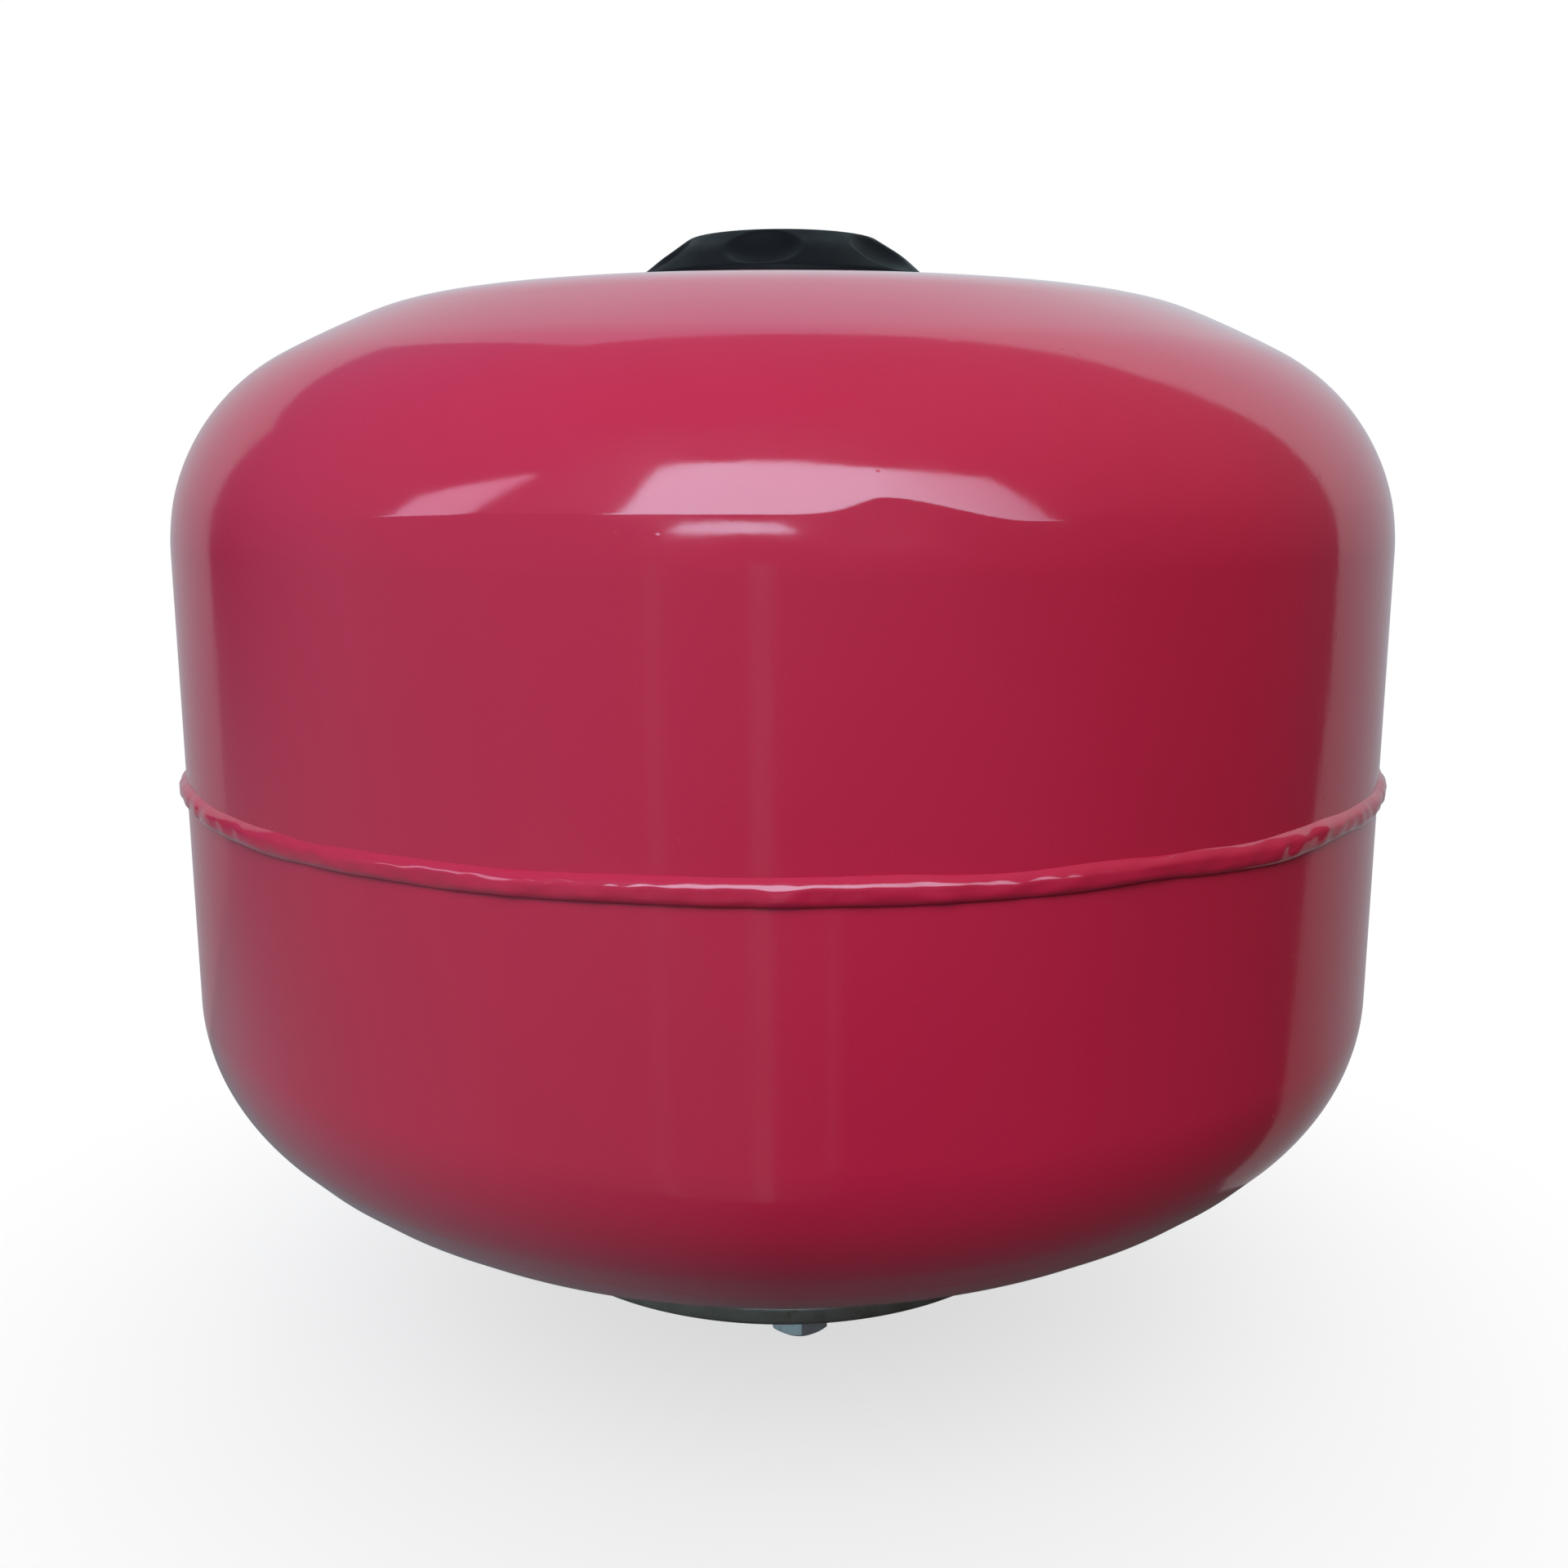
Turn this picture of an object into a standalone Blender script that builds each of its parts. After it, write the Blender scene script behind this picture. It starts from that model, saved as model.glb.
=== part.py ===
"""Expansion vessel with a replaceable bladder, a bolted pipe flange and a gas valve under a screw cap.

Units are metres and +Z is up. The origin is the centre of the pipe nipple's end face, and every
piece stands on the Z axis or on the bolt circle around it. The front of the vessel faces -Y.
"""
import math

import bmesh
import bpy
from mathutils import Euler, Matrix, Vector

# Play between pieces that rest on, or fit into, one another
SEAT_GAP = 0.0003

# Pressed steel shells
SHELL_DIAMETER = 0.294
SHELL_WALL = 0.0015
KNUCKLE_RADIUS = 0.054
CROWN_RADIUS = 0.298
LAND_DIAMETER = 0.175
UPPER_SKIRT = 0.052
LOWER_SKIRT = 0.046
LIP_LENGTH = 0.010
RIM_OPENING = 0.003

# Weld beads
SEAM_BEAD_WIDTH = 0.0054
SEAM_BEAD_HEIGHT = 0.0015
NECK_WELD_LEG = 0.004
NIPPLE_WELD_LEG = 0.004

# Bladder
BLADDER_NECK_DIAMETER = 0.084
BLADDER_WALL = 0.002
BLADDER_RIM_WIDTH = 0.009
BLADDER_RIM_THICKNESS = 0.0025
BLADDER_DIAMETER = 0.210
BLADDER_HALF_HEIGHT = 0.070
BLADDER_NECK_PLAY = 0.001
BLADDER_NECK_RISE = 0.006

# Bolts and washers of the pipe flange
BOLT_COUNT = 6
FIRST_BOLT_ANGLE = math.radians(-86)
BOLT_DIAMETER = 0.008
BOLT_HEAD_WIDTH = 0.013
BOLT_HEAD_HEIGHT = 0.0053
BOLT_TIP_MARGIN = 0.001
BOLT_CHAMFER = 0.0008
BOLT_HOLE_PLAY = 0.0005
RIM_TO_HOLE = 0.0015
WASHER_WIDTH = 0.0035
WASHER_THICKNESS = 0.0016

# Welded neck ring, counter flange and pipe nipple
NECK_RING_HEIGHT = 0.011
NECK_RING_EDGE = 0.006
FLANGE_THICKNESS = 0.005
FLANGE_EDGE = 0.009
FLANGE_ROUND = 0.0012
NIPPLE_DIAMETER = 0.0264
NIPPLE_WALL = 0.0032
NIPPLE_LENGTH = 0.024
NIPPLE_CHAMFER = 0.001

# Gas valve
PIN_DIAMETER = 0.0012
PIN_TRAVEL = 0.0012
PIN_SET_BACK = 0.0003
PIN_COLLAR_THICKNESS = 0.0005
PIN_SEAL_THICKNESS = 0.0008
PIN_SEAL_INSET = 0.0004
SPRING_WIRE = 0.00036
SPRING_TURNS = 3
SPRING_PLAY = 0.00035
CORE_WALL = 0.0006
CORE_LENGTH = 0.0062
CORE_FLOOR = 0.0017
CORE_SET_BACK = 0.0005
STEM_WALL = 0.0013
STEM_REACH = 0.0046
STEM_HEX_WIDTH = 0.012
STEM_HEX_HEIGHT = 0.0025
STEM_TAIL_WALL = 0.002
STEM_TAIL_LENGTH = 0.0055
STEM_PASSAGE_DIAMETER = 0.0032
GASKET_THICKNESS = 0.0008

# Welded boss that carries the valve and the screw cap
BOSS_HEIGHT = 0.005
BOSS_RECESS = 0.0038
BOSS_WALL = 0.006
BOSS_SPIGOT_WALL = 0.0025
BOSS_SPIGOT_LENGTH = 0.003

# Dust cap on the valve stem
DUST_SEAL_THICKNESS = 0.0006
DUST_CAP_WALL = 0.0014
DUST_CAP_ROOF = 0.0008
DUST_CAP_PITCH = 0.0008
DUST_CAP_TURNS = 2

# Screw cap over the valve
CAP_DIAMETER = 0.072
CAP_TOP_DIAMETER = 0.0465
CAP_SKIRT_HEIGHT = 0.0066
CAP_SKIRT_WALL = 0.0025
CAP_ROOF = 0.0024
CAP_WALL = 0.002
CAP_TOP_ROUND = 0.005
CAP_SKIRT_ROUND = 0.0015
CAP_SOCKET_WALL = 0.003
CAP_PITCH = 0.0015
CAP_TURNS = 3
CAP_POCKET_PLAY = 0.0024
CAP_HEADROOM = 0.0004
CAP_SEAL_THICKNESS = 0.0012
DIMPLE_COUNT = 6
FIRST_DIMPLE_ANGLE = math.radians(-99)
DIMPLE_DEPTH = 0.0023
DIMPLE_BALL_RADIUS = 0.0118
DIMPLE_STRETCH = 1.33

# Facets around the axis
SHELL_STEPS = 40
RING_STEPS = 28
SMALL_STEPS = 16
STEM_STEPS = 24
HEX_STEPS = 12
CUTTER_STEPS = 14

# Facets along the outlines
KNUCKLE_STEPS = 5
CROWN_STEPS = 2
BLADDER_STEPS = 7
BEAD_STEPS = 5
SPRING_STEPS = 10

# Radii that the pieces share
shell_radius = SHELL_DIAMETER / 2
neck_radius = BLADDER_NECK_DIAMETER / 2
bolt_radius = BOLT_DIAMETER / 2
bolt_hole_radius = bolt_radius + BOLT_HOLE_PLAY
bladder_rim_radius = neck_radius + BLADDER_RIM_WIDTH
bolt_circle_radius = bladder_rim_radius + RIM_TO_HOLE + bolt_hole_radius
neck_ring_bore = neck_radius + BLADDER_NECK_PLAY
neck_ring_radius = bolt_circle_radius + bolt_radius + NECK_RING_EDGE
flange_radius = bolt_circle_radius + bolt_hole_radius + FLANGE_EDGE
nipple_radius = NIPPLE_DIAMETER / 2

pin_radius = PIN_DIAMETER / 2
spring_radius = pin_radius + SPRING_PLAY + SPRING_WIRE / 2
core_pocket_radius = spring_radius + SPRING_WIRE / 2 + SPRING_PLAY
core_radius = core_pocket_radius + CORE_WALL
stem_bore_radius = core_radius + SEAT_GAP
stem_radius = stem_bore_radius + STEM_WALL
stem_tail_radius = stem_bore_radius + STEM_TAIL_WALL
stem_hex_corner = STEM_HEX_WIDTH / 2 / math.cos(math.pi / 6)
boss_bore_radius = stem_tail_radius + SEAT_GAP
boss_recess_radius = stem_hex_corner + SEAT_GAP
boss_radius = boss_recess_radius + BOSS_WALL
boss_spigot_radius = boss_bore_radius + BOSS_SPIGOT_WALL
dust_cap_bore = stem_radius + SEAT_GAP
dust_cap_radius = dust_cap_bore + DUST_CAP_WALL
cap_radius = CAP_DIAMETER / 2
cap_pocket_radius = dust_cap_radius + CAP_POCKET_PLAY
cap_socket_bore = boss_radius + SEAT_GAP
cap_socket_radius = cap_socket_bore + CAP_SOCKET_WALL

# Dished end: the knuckle and crown arcs meet where their centres line up
crown_half_angle = math.asin((shell_radius - KNUCKLE_RADIUS) / (CROWN_RADIUS - KNUCKLE_RADIUS))
crown_centre = -(CROWN_RADIUS - KNUCKLE_RADIUS) * math.cos(crown_half_angle)
end_height = crown_centre + math.sqrt(CROWN_RADIUS**2 - (LAND_DIAMETER / 2) ** 2)

# Heights, from the nipple's end face up to the top of the cap
flange_bottom = NIPPLE_LENGTH
flange_top = flange_bottom + FLANGE_THICKNESS
bladder_rim_bottom = flange_top + SEAT_GAP
bladder_rim_top = bladder_rim_bottom + BLADDER_RIM_THICKNESS
neck_ring_bottom = bladder_rim_top + SEAT_GAP
neck_ring_top = neck_ring_bottom + NECK_RING_HEIGHT
lower_land = neck_ring_top + SEAT_GAP
lower_tangent = lower_land + end_height
seam = lower_tangent + LOWER_SKIRT
upper_tangent = seam + UPPER_SKIRT
upper_land = upper_tangent + end_height

boss_bottom = upper_land + SEAT_GAP
boss_top = boss_bottom + BOSS_HEIGHT
gasket_bottom = boss_top - BOSS_RECESS + SEAT_GAP
stem_seat = gasket_bottom + GASKET_THICKNESS + SEAT_GAP
stem_top = stem_seat + STEM_HEX_HEIGHT + STEM_REACH
core_top = stem_top - CORE_SET_BACK
core_bottom = core_top - CORE_LENGTH
pin_top = stem_top - PIN_SET_BACK
pin_collar_top = core_top - SEAT_GAP
pin_seal_top = core_bottom - SEAT_GAP
pin_bottom = pin_seal_top - PIN_SEAL_THICKNESS
valve_chamber_floor = pin_bottom - PIN_TRAVEL - SEAT_GAP
spring_bottom = core_bottom + CORE_FLOOR + SEAT_GAP
spring_top = pin_collar_top - PIN_COLLAR_THICKNESS - SEAT_GAP
dust_cap_bottom = stem_seat + STEM_HEX_HEIGHT + SEAT_GAP
dust_seal_bottom = stem_top + SEAT_GAP
dust_cap_ceiling = dust_seal_bottom + DUST_SEAL_THICKNESS + SEAT_GAP
dust_cap_top = dust_cap_ceiling + DUST_CAP_ROOF
dust_cap_lift = DUST_CAP_PITCH * DUST_CAP_TURNS
cap_bottom = upper_land + SEAT_GAP
cap_seal_bottom = boss_top + SEAT_GAP
cap_ledge = cap_seal_bottom + CAP_SEAL_THICKNESS + SEAT_GAP
cap_ceiling = dust_cap_top + dust_cap_lift + CAP_HEADROOM
cap_top = cap_ceiling + CAP_ROOF


def finish(name, colour, roughness, metallic=0.0):
    """Makes a Principled material with one colour."""
    material = bpy.data.materials.new(name)
    material.use_nodes = True
    shader = material.node_tree.nodes["Principled BSDF"]
    shader.inputs["Base Color"].default_value = (*colour, 1.0)
    shader.inputs["Roughness"].default_value = roughness
    shader.inputs["Metallic"].default_value = metallic
    return material


def add_object(name, data, material, parent, location=(0, 0, 0)):
    """Links a mesh or curve into the scene under its parent empty."""
    piece = bpy.data.objects.new(name, data)
    bpy.context.collection.objects.link(piece)
    if material:
        data.materials.append(material)
    piece.parent = parent
    piece.location = location
    return piece


def add_axis(name, height, parent=None):
    """Adds an empty on the Z axis, which the pieces of one body hang on."""
    axis = bpy.data.objects.new(name, None)
    bpy.context.collection.objects.link(axis)
    axis.parent = parent
    axis.location = (0, 0, height)
    return axis


def arc(centre, radius, start, end, steps):
    """Points (r, z) along an arc, from the start angle to the end angle."""
    points = []
    for i in range(steps + 1):
        angle = start + (end - start) * i / steps
        points.append((centre[0] + radius * math.cos(angle), centre[1] + radius * math.sin(angle)))
    return points


def rounded(corners, steps=3):
    """Turns corners (r, z, rounding radius) into points, with an arc at each rounded corner."""
    points = []
    for i, (r, z, radius) in enumerate(corners):
        if radius == 0:
            points.append((r, z))
            continue
        here = Vector((r, z))
        back = (Vector(corners[i - 1][:2]) - here).normalized()
        ahead = (Vector(corners[(i + 1) % len(corners)][:2]) - here).normalized()
        half = back.angle(ahead) / 2
        centre = here + (back + ahead).normalized() * radius / math.sin(half)
        first = here + back * radius / math.tan(half) - centre
        last = here + ahead * radius / math.tan(half) - centre
        start = math.atan2(first.y, first.x)
        sweep = (math.atan2(last.y, last.x) - start + math.pi) % (2 * math.pi) - math.pi
        points += arc(centre, radius, start, start + sweep, steps)
    return points


def turned(name, outline, material, parent, steps, base=0.0, solid=False):
    """Turns an outline of (r, z) points around Z. A solid's outline starts and ends on the axis."""
    pairs = zip(outline, outline[1:] + outline[:1])
    area = sum(r0 * z1 - r1 * z0 for (r0, z0), (r1, z1) in pairs)
    if area > 0:
        outline = outline[::-1]
    count = len(outline)
    edges = [(i, (i + 1) % count) for i in range(count - 1 if solid else count)]
    mesh = bpy.data.meshes.new(name)
    mesh.from_pydata([(r, 0, z - base) for r, z in outline], edges, [])
    piece = add_object(name, mesh, material, parent)
    piece.location.z = base - (parent.location.z if parent else 0)
    screw = piece.modifiers.new("turn", "SCREW")
    screw.axis = "Z"
    screw.angle = 2 * math.pi
    screw.steps = steps
    screw.render_steps = steps
    screw.use_merge_vertices = True
    screw.merge_threshold = 0.000001
    screw.use_smooth_shade = True
    return piece


def ring_points(radius, height, count):
    """Points of a circle around Z."""
    angles = [2 * math.pi * i / count for i in range(count)]
    return [(radius * math.cos(a), radius * math.sin(a), height) for a in angles]


def hex_points(width, height, count, chamfer_from=None):
    """Points of a hexagon around Z, raised towards its corners where a 30 degree chamfer cuts it."""
    points = []
    for i in range(count):
        angle = 2 * math.pi * i / count
        off_flat = (angle + math.pi / 6) % (math.pi / 3) - math.pi / 6
        radius = width / 2 / math.cos(off_flat)
        rise = (radius - chamfer_from) * math.tan(math.pi / 6) if chamfer_from else 0
        points.append((radius * math.cos(angle), radius * math.sin(angle), height + rise))
    return points


def stacked(name, rings, material, parent, location=(0, 0, 0), tubular=False):
    """Bridges rings of equal counts, and caps the ends or, if tubular, joins the last ring to the first."""
    model = bmesh.new()
    loops = [[model.verts.new(point) for point in ring] for ring in rings]
    count = len(loops[0])
    joined = list(zip(loops, loops[1:]))
    if tubular:
        joined.append((loops[-1], loops[0]))
    else:
        model.faces.new(loops[0][::-1])
        model.faces.new(loops[-1])
    for lower, upper in joined:
        for i in range(count):
            j = (i + 1) % count
            model.faces.new((lower[i], lower[j], upper[j], upper[i]))
    bmesh.ops.recalc_face_normals(model, faces=model.faces)
    mesh = bpy.data.meshes.new(name)
    model.to_mesh(mesh)
    model.free()
    mesh.shade_smooth()
    mesh.set_sharp_from_angle(angle=math.radians(35))
    return add_object(name, mesh, material, parent, location)


def cut_away(piece, cutter):
    """Cuts the cutter's shape out of a piece, and hides the cutter."""
    cutter.hide_render = True
    cutter.display_type = "WIRE"
    boolean = piece.modifiers.new("cut", "BOOLEAN")
    boolean.operation = "DIFFERENCE"
    boolean.solver = "EXACT"
    boolean.object = cutter


def bolt_angles():
    """Angles of the flange bolts around Z."""
    return [FIRST_BOLT_ANGLE + 2 * math.pi * i / BOLT_COUNT for i in range(BOLT_COUNT)]


def bolt_place(angle, height):
    """Point on the bolt circle."""
    return (bolt_circle_radius * math.cos(angle), bolt_circle_radius * math.sin(angle), height)


def drill_bolt_holes(piece, radius, bottom, top):
    """Drills one hole for each bolt through a piece."""
    model = bmesh.new()
    for angle in bolt_angles():
        middle = Vector(bolt_place(angle, (bottom + top) / 2))
        bmesh.ops.create_cone(
            model, cap_ends=True, segments=CUTTER_STEPS, radius1=radius, radius2=radius,
            depth=(top - bottom) * 2, matrix=Matrix.Translation(middle))
    mesh = bpy.data.meshes.new(piece.name + "_drills")
    model.to_mesh(mesh)
    model.free()
    cut_away(piece, add_object(mesh.name, mesh, None, None))


def end_arcs(inset, tangent, up):
    """Outline of a dished end from its tangent line to its flat land, inset by part of the wall."""
    land_height = end_height - inset
    land_radius = math.sqrt((CROWN_RADIUS - inset) ** 2 - (land_height - crown_centre) ** 2)
    land_angle = math.acos(land_radius / (CROWN_RADIUS - inset))
    turn = math.pi / 2 - crown_half_angle
    points = arc((shell_radius - KNUCKLE_RADIUS, 0), KNUCKLE_RADIUS - inset, 0, turn, KNUCKLE_STEPS)
    points += arc((0, crown_centre), CROWN_RADIUS - inset, turn, land_angle, CROWN_STEPS)[1:]
    return [(r, tangent + (z if up else -z)) for r, z in points]


def make_upper_shell(paint, parent):
    """Upper shell, with a hole in its land for the valve boss."""
    hole = boss_spigot_radius + SEAT_GAP
    rim = seam + RIM_OPENING / 2
    outside = [(shell_radius, rim)] + end_arcs(0, upper_tangent, True) + [(hole, upper_land)]
    inside = [(shell_radius - SHELL_WALL, rim)] + end_arcs(SHELL_WALL, upper_tangent, True)
    inside.append((hole, upper_land - SHELL_WALL))
    turned("upper_shell", outside + inside[::-1], paint, parent, SHELL_STEPS, seam)


def make_lower_shell(paint, parent):
    """Lower shell, whose lip steps inwards and tucks into the upper shell."""
    hole = neck_ring_bore
    lip_radius = shell_radius - SHELL_WALL - SEAT_GAP
    shoulder = seam - RIM_OPENING / 2
    lip_foot = seam + RIM_OPENING / 2
    lip_top = lip_foot + LIP_LENGTH
    outside = [(hole, lower_land)] + end_arcs(0, lower_tangent, False)[::-1]
    outside += [(shell_radius, shoulder), (lip_radius, lip_foot), (lip_radius, lip_top)]
    inside = [(hole, lower_land + SHELL_WALL)] + end_arcs(SHELL_WALL, lower_tangent, False)[::-1]
    inside += [(shell_radius - SHELL_WALL, shoulder), (lip_radius - SHELL_WALL, lip_foot)]
    inside.append((lip_radius - SHELL_WALL, lip_top))
    turned("lower_shell", outside + inside[::-1], paint, parent, SHELL_STEPS, seam)


def make_seam_weld(paint, parent):
    """Half-round weld bead over the joint of the two shells."""
    foot = shell_radius + SEAT_GAP
    half = SEAM_BEAD_WIDTH / 2
    rise = SEAM_BEAD_HEIGHT - SEAT_GAP
    outline = []
    for i in range(BEAD_STEPS + 1):
        angle = -math.pi / 2 + math.pi * i / BEAD_STEPS
        outline.append((foot + rise * math.cos(angle), seam + half * math.sin(angle)))
    turned("seam_weld", outline, paint, parent, SHELL_STEPS, seam)


def make_neck(paint, parent):
    """Neck ring with tapped holes, and the fillet weld that holds it to the lower shell."""
    ring = turned(
        "neck_ring",
        [(neck_ring_bore, neck_ring_bottom), (neck_ring_radius, neck_ring_bottom),
         (neck_ring_radius, neck_ring_top), (neck_ring_bore, neck_ring_top)],
        paint, parent, RING_STEPS)
    drill_bolt_holes(ring, bolt_radius + SEAT_GAP, neck_ring_bottom, neck_ring_top)
    foot = neck_ring_radius + SEAT_GAP
    fillet = [
        (foot, neck_ring_top), (foot, neck_ring_top - NECK_WELD_LEG), (foot + NECK_WELD_LEG, neck_ring_top)]
    turned("neck_weld", fillet, paint, parent, RING_STEPS)


def bladder_side(inset, neck_foot):
    """One face of the bladder's wall, from the foot of its neck to its top on the axis."""
    wide = BLADDER_DIAMETER / 2 - inset
    tall = BLADDER_HALF_HEIGHT - inset
    neck_top = lower_land + SHELL_WALL + BLADDER_NECK_RISE
    outer_start = -math.acos(neck_radius / (BLADDER_DIAMETER / 2))
    middle = neck_top - BLADDER_HALF_HEIGHT * math.sin(outer_start)
    start = -math.acos((neck_radius - inset) / wide)
    points = [(neck_radius - inset, neck_foot)]
    for i in range(BLADDER_STEPS + 1):
        angle = start + (math.pi / 2 - start) * i / BLADDER_STEPS
        points.append((wide * math.cos(angle), middle + tall * math.sin(angle)))
    points[-1] = (0.0, points[-1][1])
    return points


def make_bladder(rubber, parent):
    """Rubber bladder, half swollen, with the rim that the flange clamps."""
    outside = bladder_side(0, bladder_rim_top)
    inside = bladder_side(BLADDER_WALL, bladder_rim_bottom)
    rim = [(bladder_rim_radius, bladder_rim_bottom), (bladder_rim_radius, bladder_rim_top)]
    turned("bladder", inside[::-1] + rim + outside, rubber, parent, RING_STEPS, bladder_rim_bottom, True)


def make_pipe_connection(dull_zinc, parent):
    """Counter flange, the nipple through its middle and the weld between them."""
    hole = nipple_radius + SEAT_GAP
    flange = turned(
        "counter_flange",
        rounded([(hole, flange_bottom, 0), (flange_radius, flange_bottom, FLANGE_ROUND),
                 (flange_radius, flange_top, FLANGE_ROUND), (hole, flange_top, 0)]),
        dull_zinc, parent, SHELL_STEPS)
    drill_bolt_holes(flange, bolt_hole_radius, flange_bottom, flange_top)
    bore = nipple_radius - NIPPLE_WALL
    nipple = [
        (bore, 0), (nipple_radius - NIPPLE_CHAMFER, 0), (nipple_radius, NIPPLE_CHAMFER),
        (nipple_radius, flange_top), (bore, flange_top)]
    turned("pipe_nipple", nipple, dull_zinc, parent, RING_STEPS)
    weld_top = flange_bottom - SEAT_GAP
    fillet = [(hole, weld_top), (hole, weld_top - NIPPLE_WELD_LEG), (hole + NIPPLE_WELD_LEG, weld_top)]
    turned("nipple_weld", fillet, dull_zinc, parent, RING_STEPS)


def make_bolts(bright_zinc, parent):
    """Flange bolts, heads down, each with its washer."""
    washer_top = flange_bottom - SEAT_GAP
    washer_bottom = washer_top - WASHER_THICKNESS
    head_top = washer_bottom - SEAT_GAP
    head_bottom = head_top - BOLT_HEAD_HEIGHT
    shank = neck_ring_top - BOLT_TIP_MARGIN - head_bottom
    chamfer_radius = BOLT_HEAD_WIDTH / 2 - BOLT_CHAMFER / 2
    tip_radius = bolt_radius - BOLT_CHAMFER
    bolt_rings = [
        ring_points(chamfer_radius, 0, HEX_STEPS),
        hex_points(BOLT_HEAD_WIDTH, 0, HEX_STEPS, chamfer_radius),
        hex_points(BOLT_HEAD_WIDTH, BOLT_HEAD_HEIGHT, HEX_STEPS),
        ring_points(bolt_radius, BOLT_HEAD_HEIGHT, HEX_STEPS),
        ring_points(bolt_radius, shank - BOLT_CHAMFER, HEX_STEPS),
        ring_points(tip_radius, shank, HEX_STEPS)]
    inner = bolt_hole_radius
    outer = bolt_hole_radius + WASHER_WIDTH
    washer_rings = [
        ring_points(inner, 0, SMALL_STEPS), ring_points(outer, 0, SMALL_STEPS),
        ring_points(outer, WASHER_THICKNESS, SMALL_STEPS),
        ring_points(inner, WASHER_THICKNESS, SMALL_STEPS)]
    for i, angle in enumerate(bolt_angles(), start=1):
        bolt = stacked(f"flange_bolt_{i}", bolt_rings, bright_zinc, parent, bolt_place(angle, head_bottom))
        bolt.rotation_euler.z = angle + math.pi / 6
        place = bolt_place(angle, washer_bottom)
        stacked(f"flange_washer_{i}", washer_rings, bright_zinc, parent, place, tubular=True)


def make_valve_boss(steel, parent):
    """Threaded boss on the upper land, with a recess for the valve's hexagon."""
    floor = boss_top - BOSS_RECESS
    foot = upper_land - BOSS_SPIGOT_LENGTH
    outline = [
        (boss_bore_radius, foot), (boss_spigot_radius, foot), (boss_spigot_radius, boss_bottom),
        (boss_radius, boss_bottom), (boss_radius, boss_top), (boss_recess_radius, boss_top),
        (boss_recess_radius, floor), (boss_bore_radius, floor)]
    turned("valve_boss", outline, steel, parent, RING_STEPS, upper_land)


def make_valve_body(brass, rubber, parent):
    """Valve stem with its hexagon, the gasket under it and the screwed-in core."""
    gasket_top = gasket_bottom + GASKET_THICKNESS
    gasket_radius = boss_recess_radius - SEAT_GAP
    gasket = [
        (boss_bore_radius, gasket_bottom), (gasket_radius, gasket_bottom),
        (gasket_radius, gasket_top), (boss_bore_radius, gasket_top)]
    turned("valve_gasket", gasket, rubber, parent, SMALL_STEPS, upper_land)

    hex_top = STEM_HEX_HEIGHT
    tip = stem_top - stem_seat
    chamber = valve_chamber_floor - stem_seat
    passage = STEM_PASSAGE_DIAMETER / 2
    rings = [
        ring_points(stem_tail_radius, -STEM_TAIL_LENGTH, STEM_STEPS),
        ring_points(stem_tail_radius, 0, STEM_STEPS),
        hex_points(STEM_HEX_WIDTH, 0, STEM_STEPS),
        hex_points(STEM_HEX_WIDTH, hex_top, STEM_STEPS),
        ring_points(stem_radius, hex_top, STEM_STEPS),
        ring_points(stem_radius, tip, STEM_STEPS),
        ring_points(stem_bore_radius, tip, STEM_STEPS),
        ring_points(stem_bore_radius, chamber, STEM_STEPS),
        ring_points(passage, chamber, STEM_STEPS),
        ring_points(passage, -STEM_TAIL_LENGTH, STEM_STEPS)]
    stacked("valve_stem", rings, brass, parent, (0, 0, stem_seat), tubular=True)

    guide = pin_radius + SEAT_GAP
    pocket_floor = core_bottom + CORE_FLOOR
    core = [
        (guide, core_bottom), (core_radius, core_bottom), (core_radius, core_top),
        (core_pocket_radius, core_top), (core_pocket_radius, pocket_floor), (guide, pocket_floor)]
    turned("valve_core", core, brass, parent, SMALL_STEPS, stem_seat)


def make_valve_pin(brass, axis):
    """Spring-loaded pin of the valve core, with its collar and its seal."""
    collar_radius = core_pocket_radius - SEAT_GAP
    seal_radius = core_radius - PIN_SEAL_INSET
    collar_bottom = pin_collar_top - PIN_COLLAR_THICKNESS
    outline = [
        (0, pin_bottom), (seal_radius, pin_bottom), (seal_radius, pin_seal_top),
        (pin_radius, pin_seal_top), (pin_radius, collar_bottom), (collar_radius, collar_bottom),
        (collar_radius, pin_collar_top), (pin_radius, pin_collar_top), (pin_radius, pin_top), (0, pin_top)]
    turned("valve_pin", outline, brass, axis, SMALL_STEPS, pin_bottom, True)


def make_valve_spring(steel, parent):
    """Helical spring that holds the valve shut."""
    count = SPRING_TURNS * SPRING_STEPS
    low = spring_bottom + SPRING_WIRE / 2
    high = spring_top - SPRING_WIRE / 2
    curve = bpy.data.curves.new("valve_spring", "CURVE")
    curve.dimensions = "3D"
    curve.bevel_depth = SPRING_WIRE / 2
    curve.bevel_resolution = 1
    curve.use_fill_caps = True
    spline = curve.splines.new("POLY")
    spline.points.add(count)
    path = []
    for i in range(count + 1):
        angle = 2 * math.pi * i / SPRING_STEPS
        height = low + (high - low) * i / count
        path.append(Vector((spring_radius * math.cos(angle), spring_radius * math.sin(angle), height)))
        spline.points[i].co = (*path[-1], 1)
    add_object("valve_spring", curve, steel, parent)
    apart = [(a - b).length for i, a in enumerate(path) for b in path[i + SPRING_STEPS // 2:]]
    print(f"valve spring: least gap between turns {(min(apart) - SPRING_WIRE) * 1000:.2f} mm")


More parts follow.
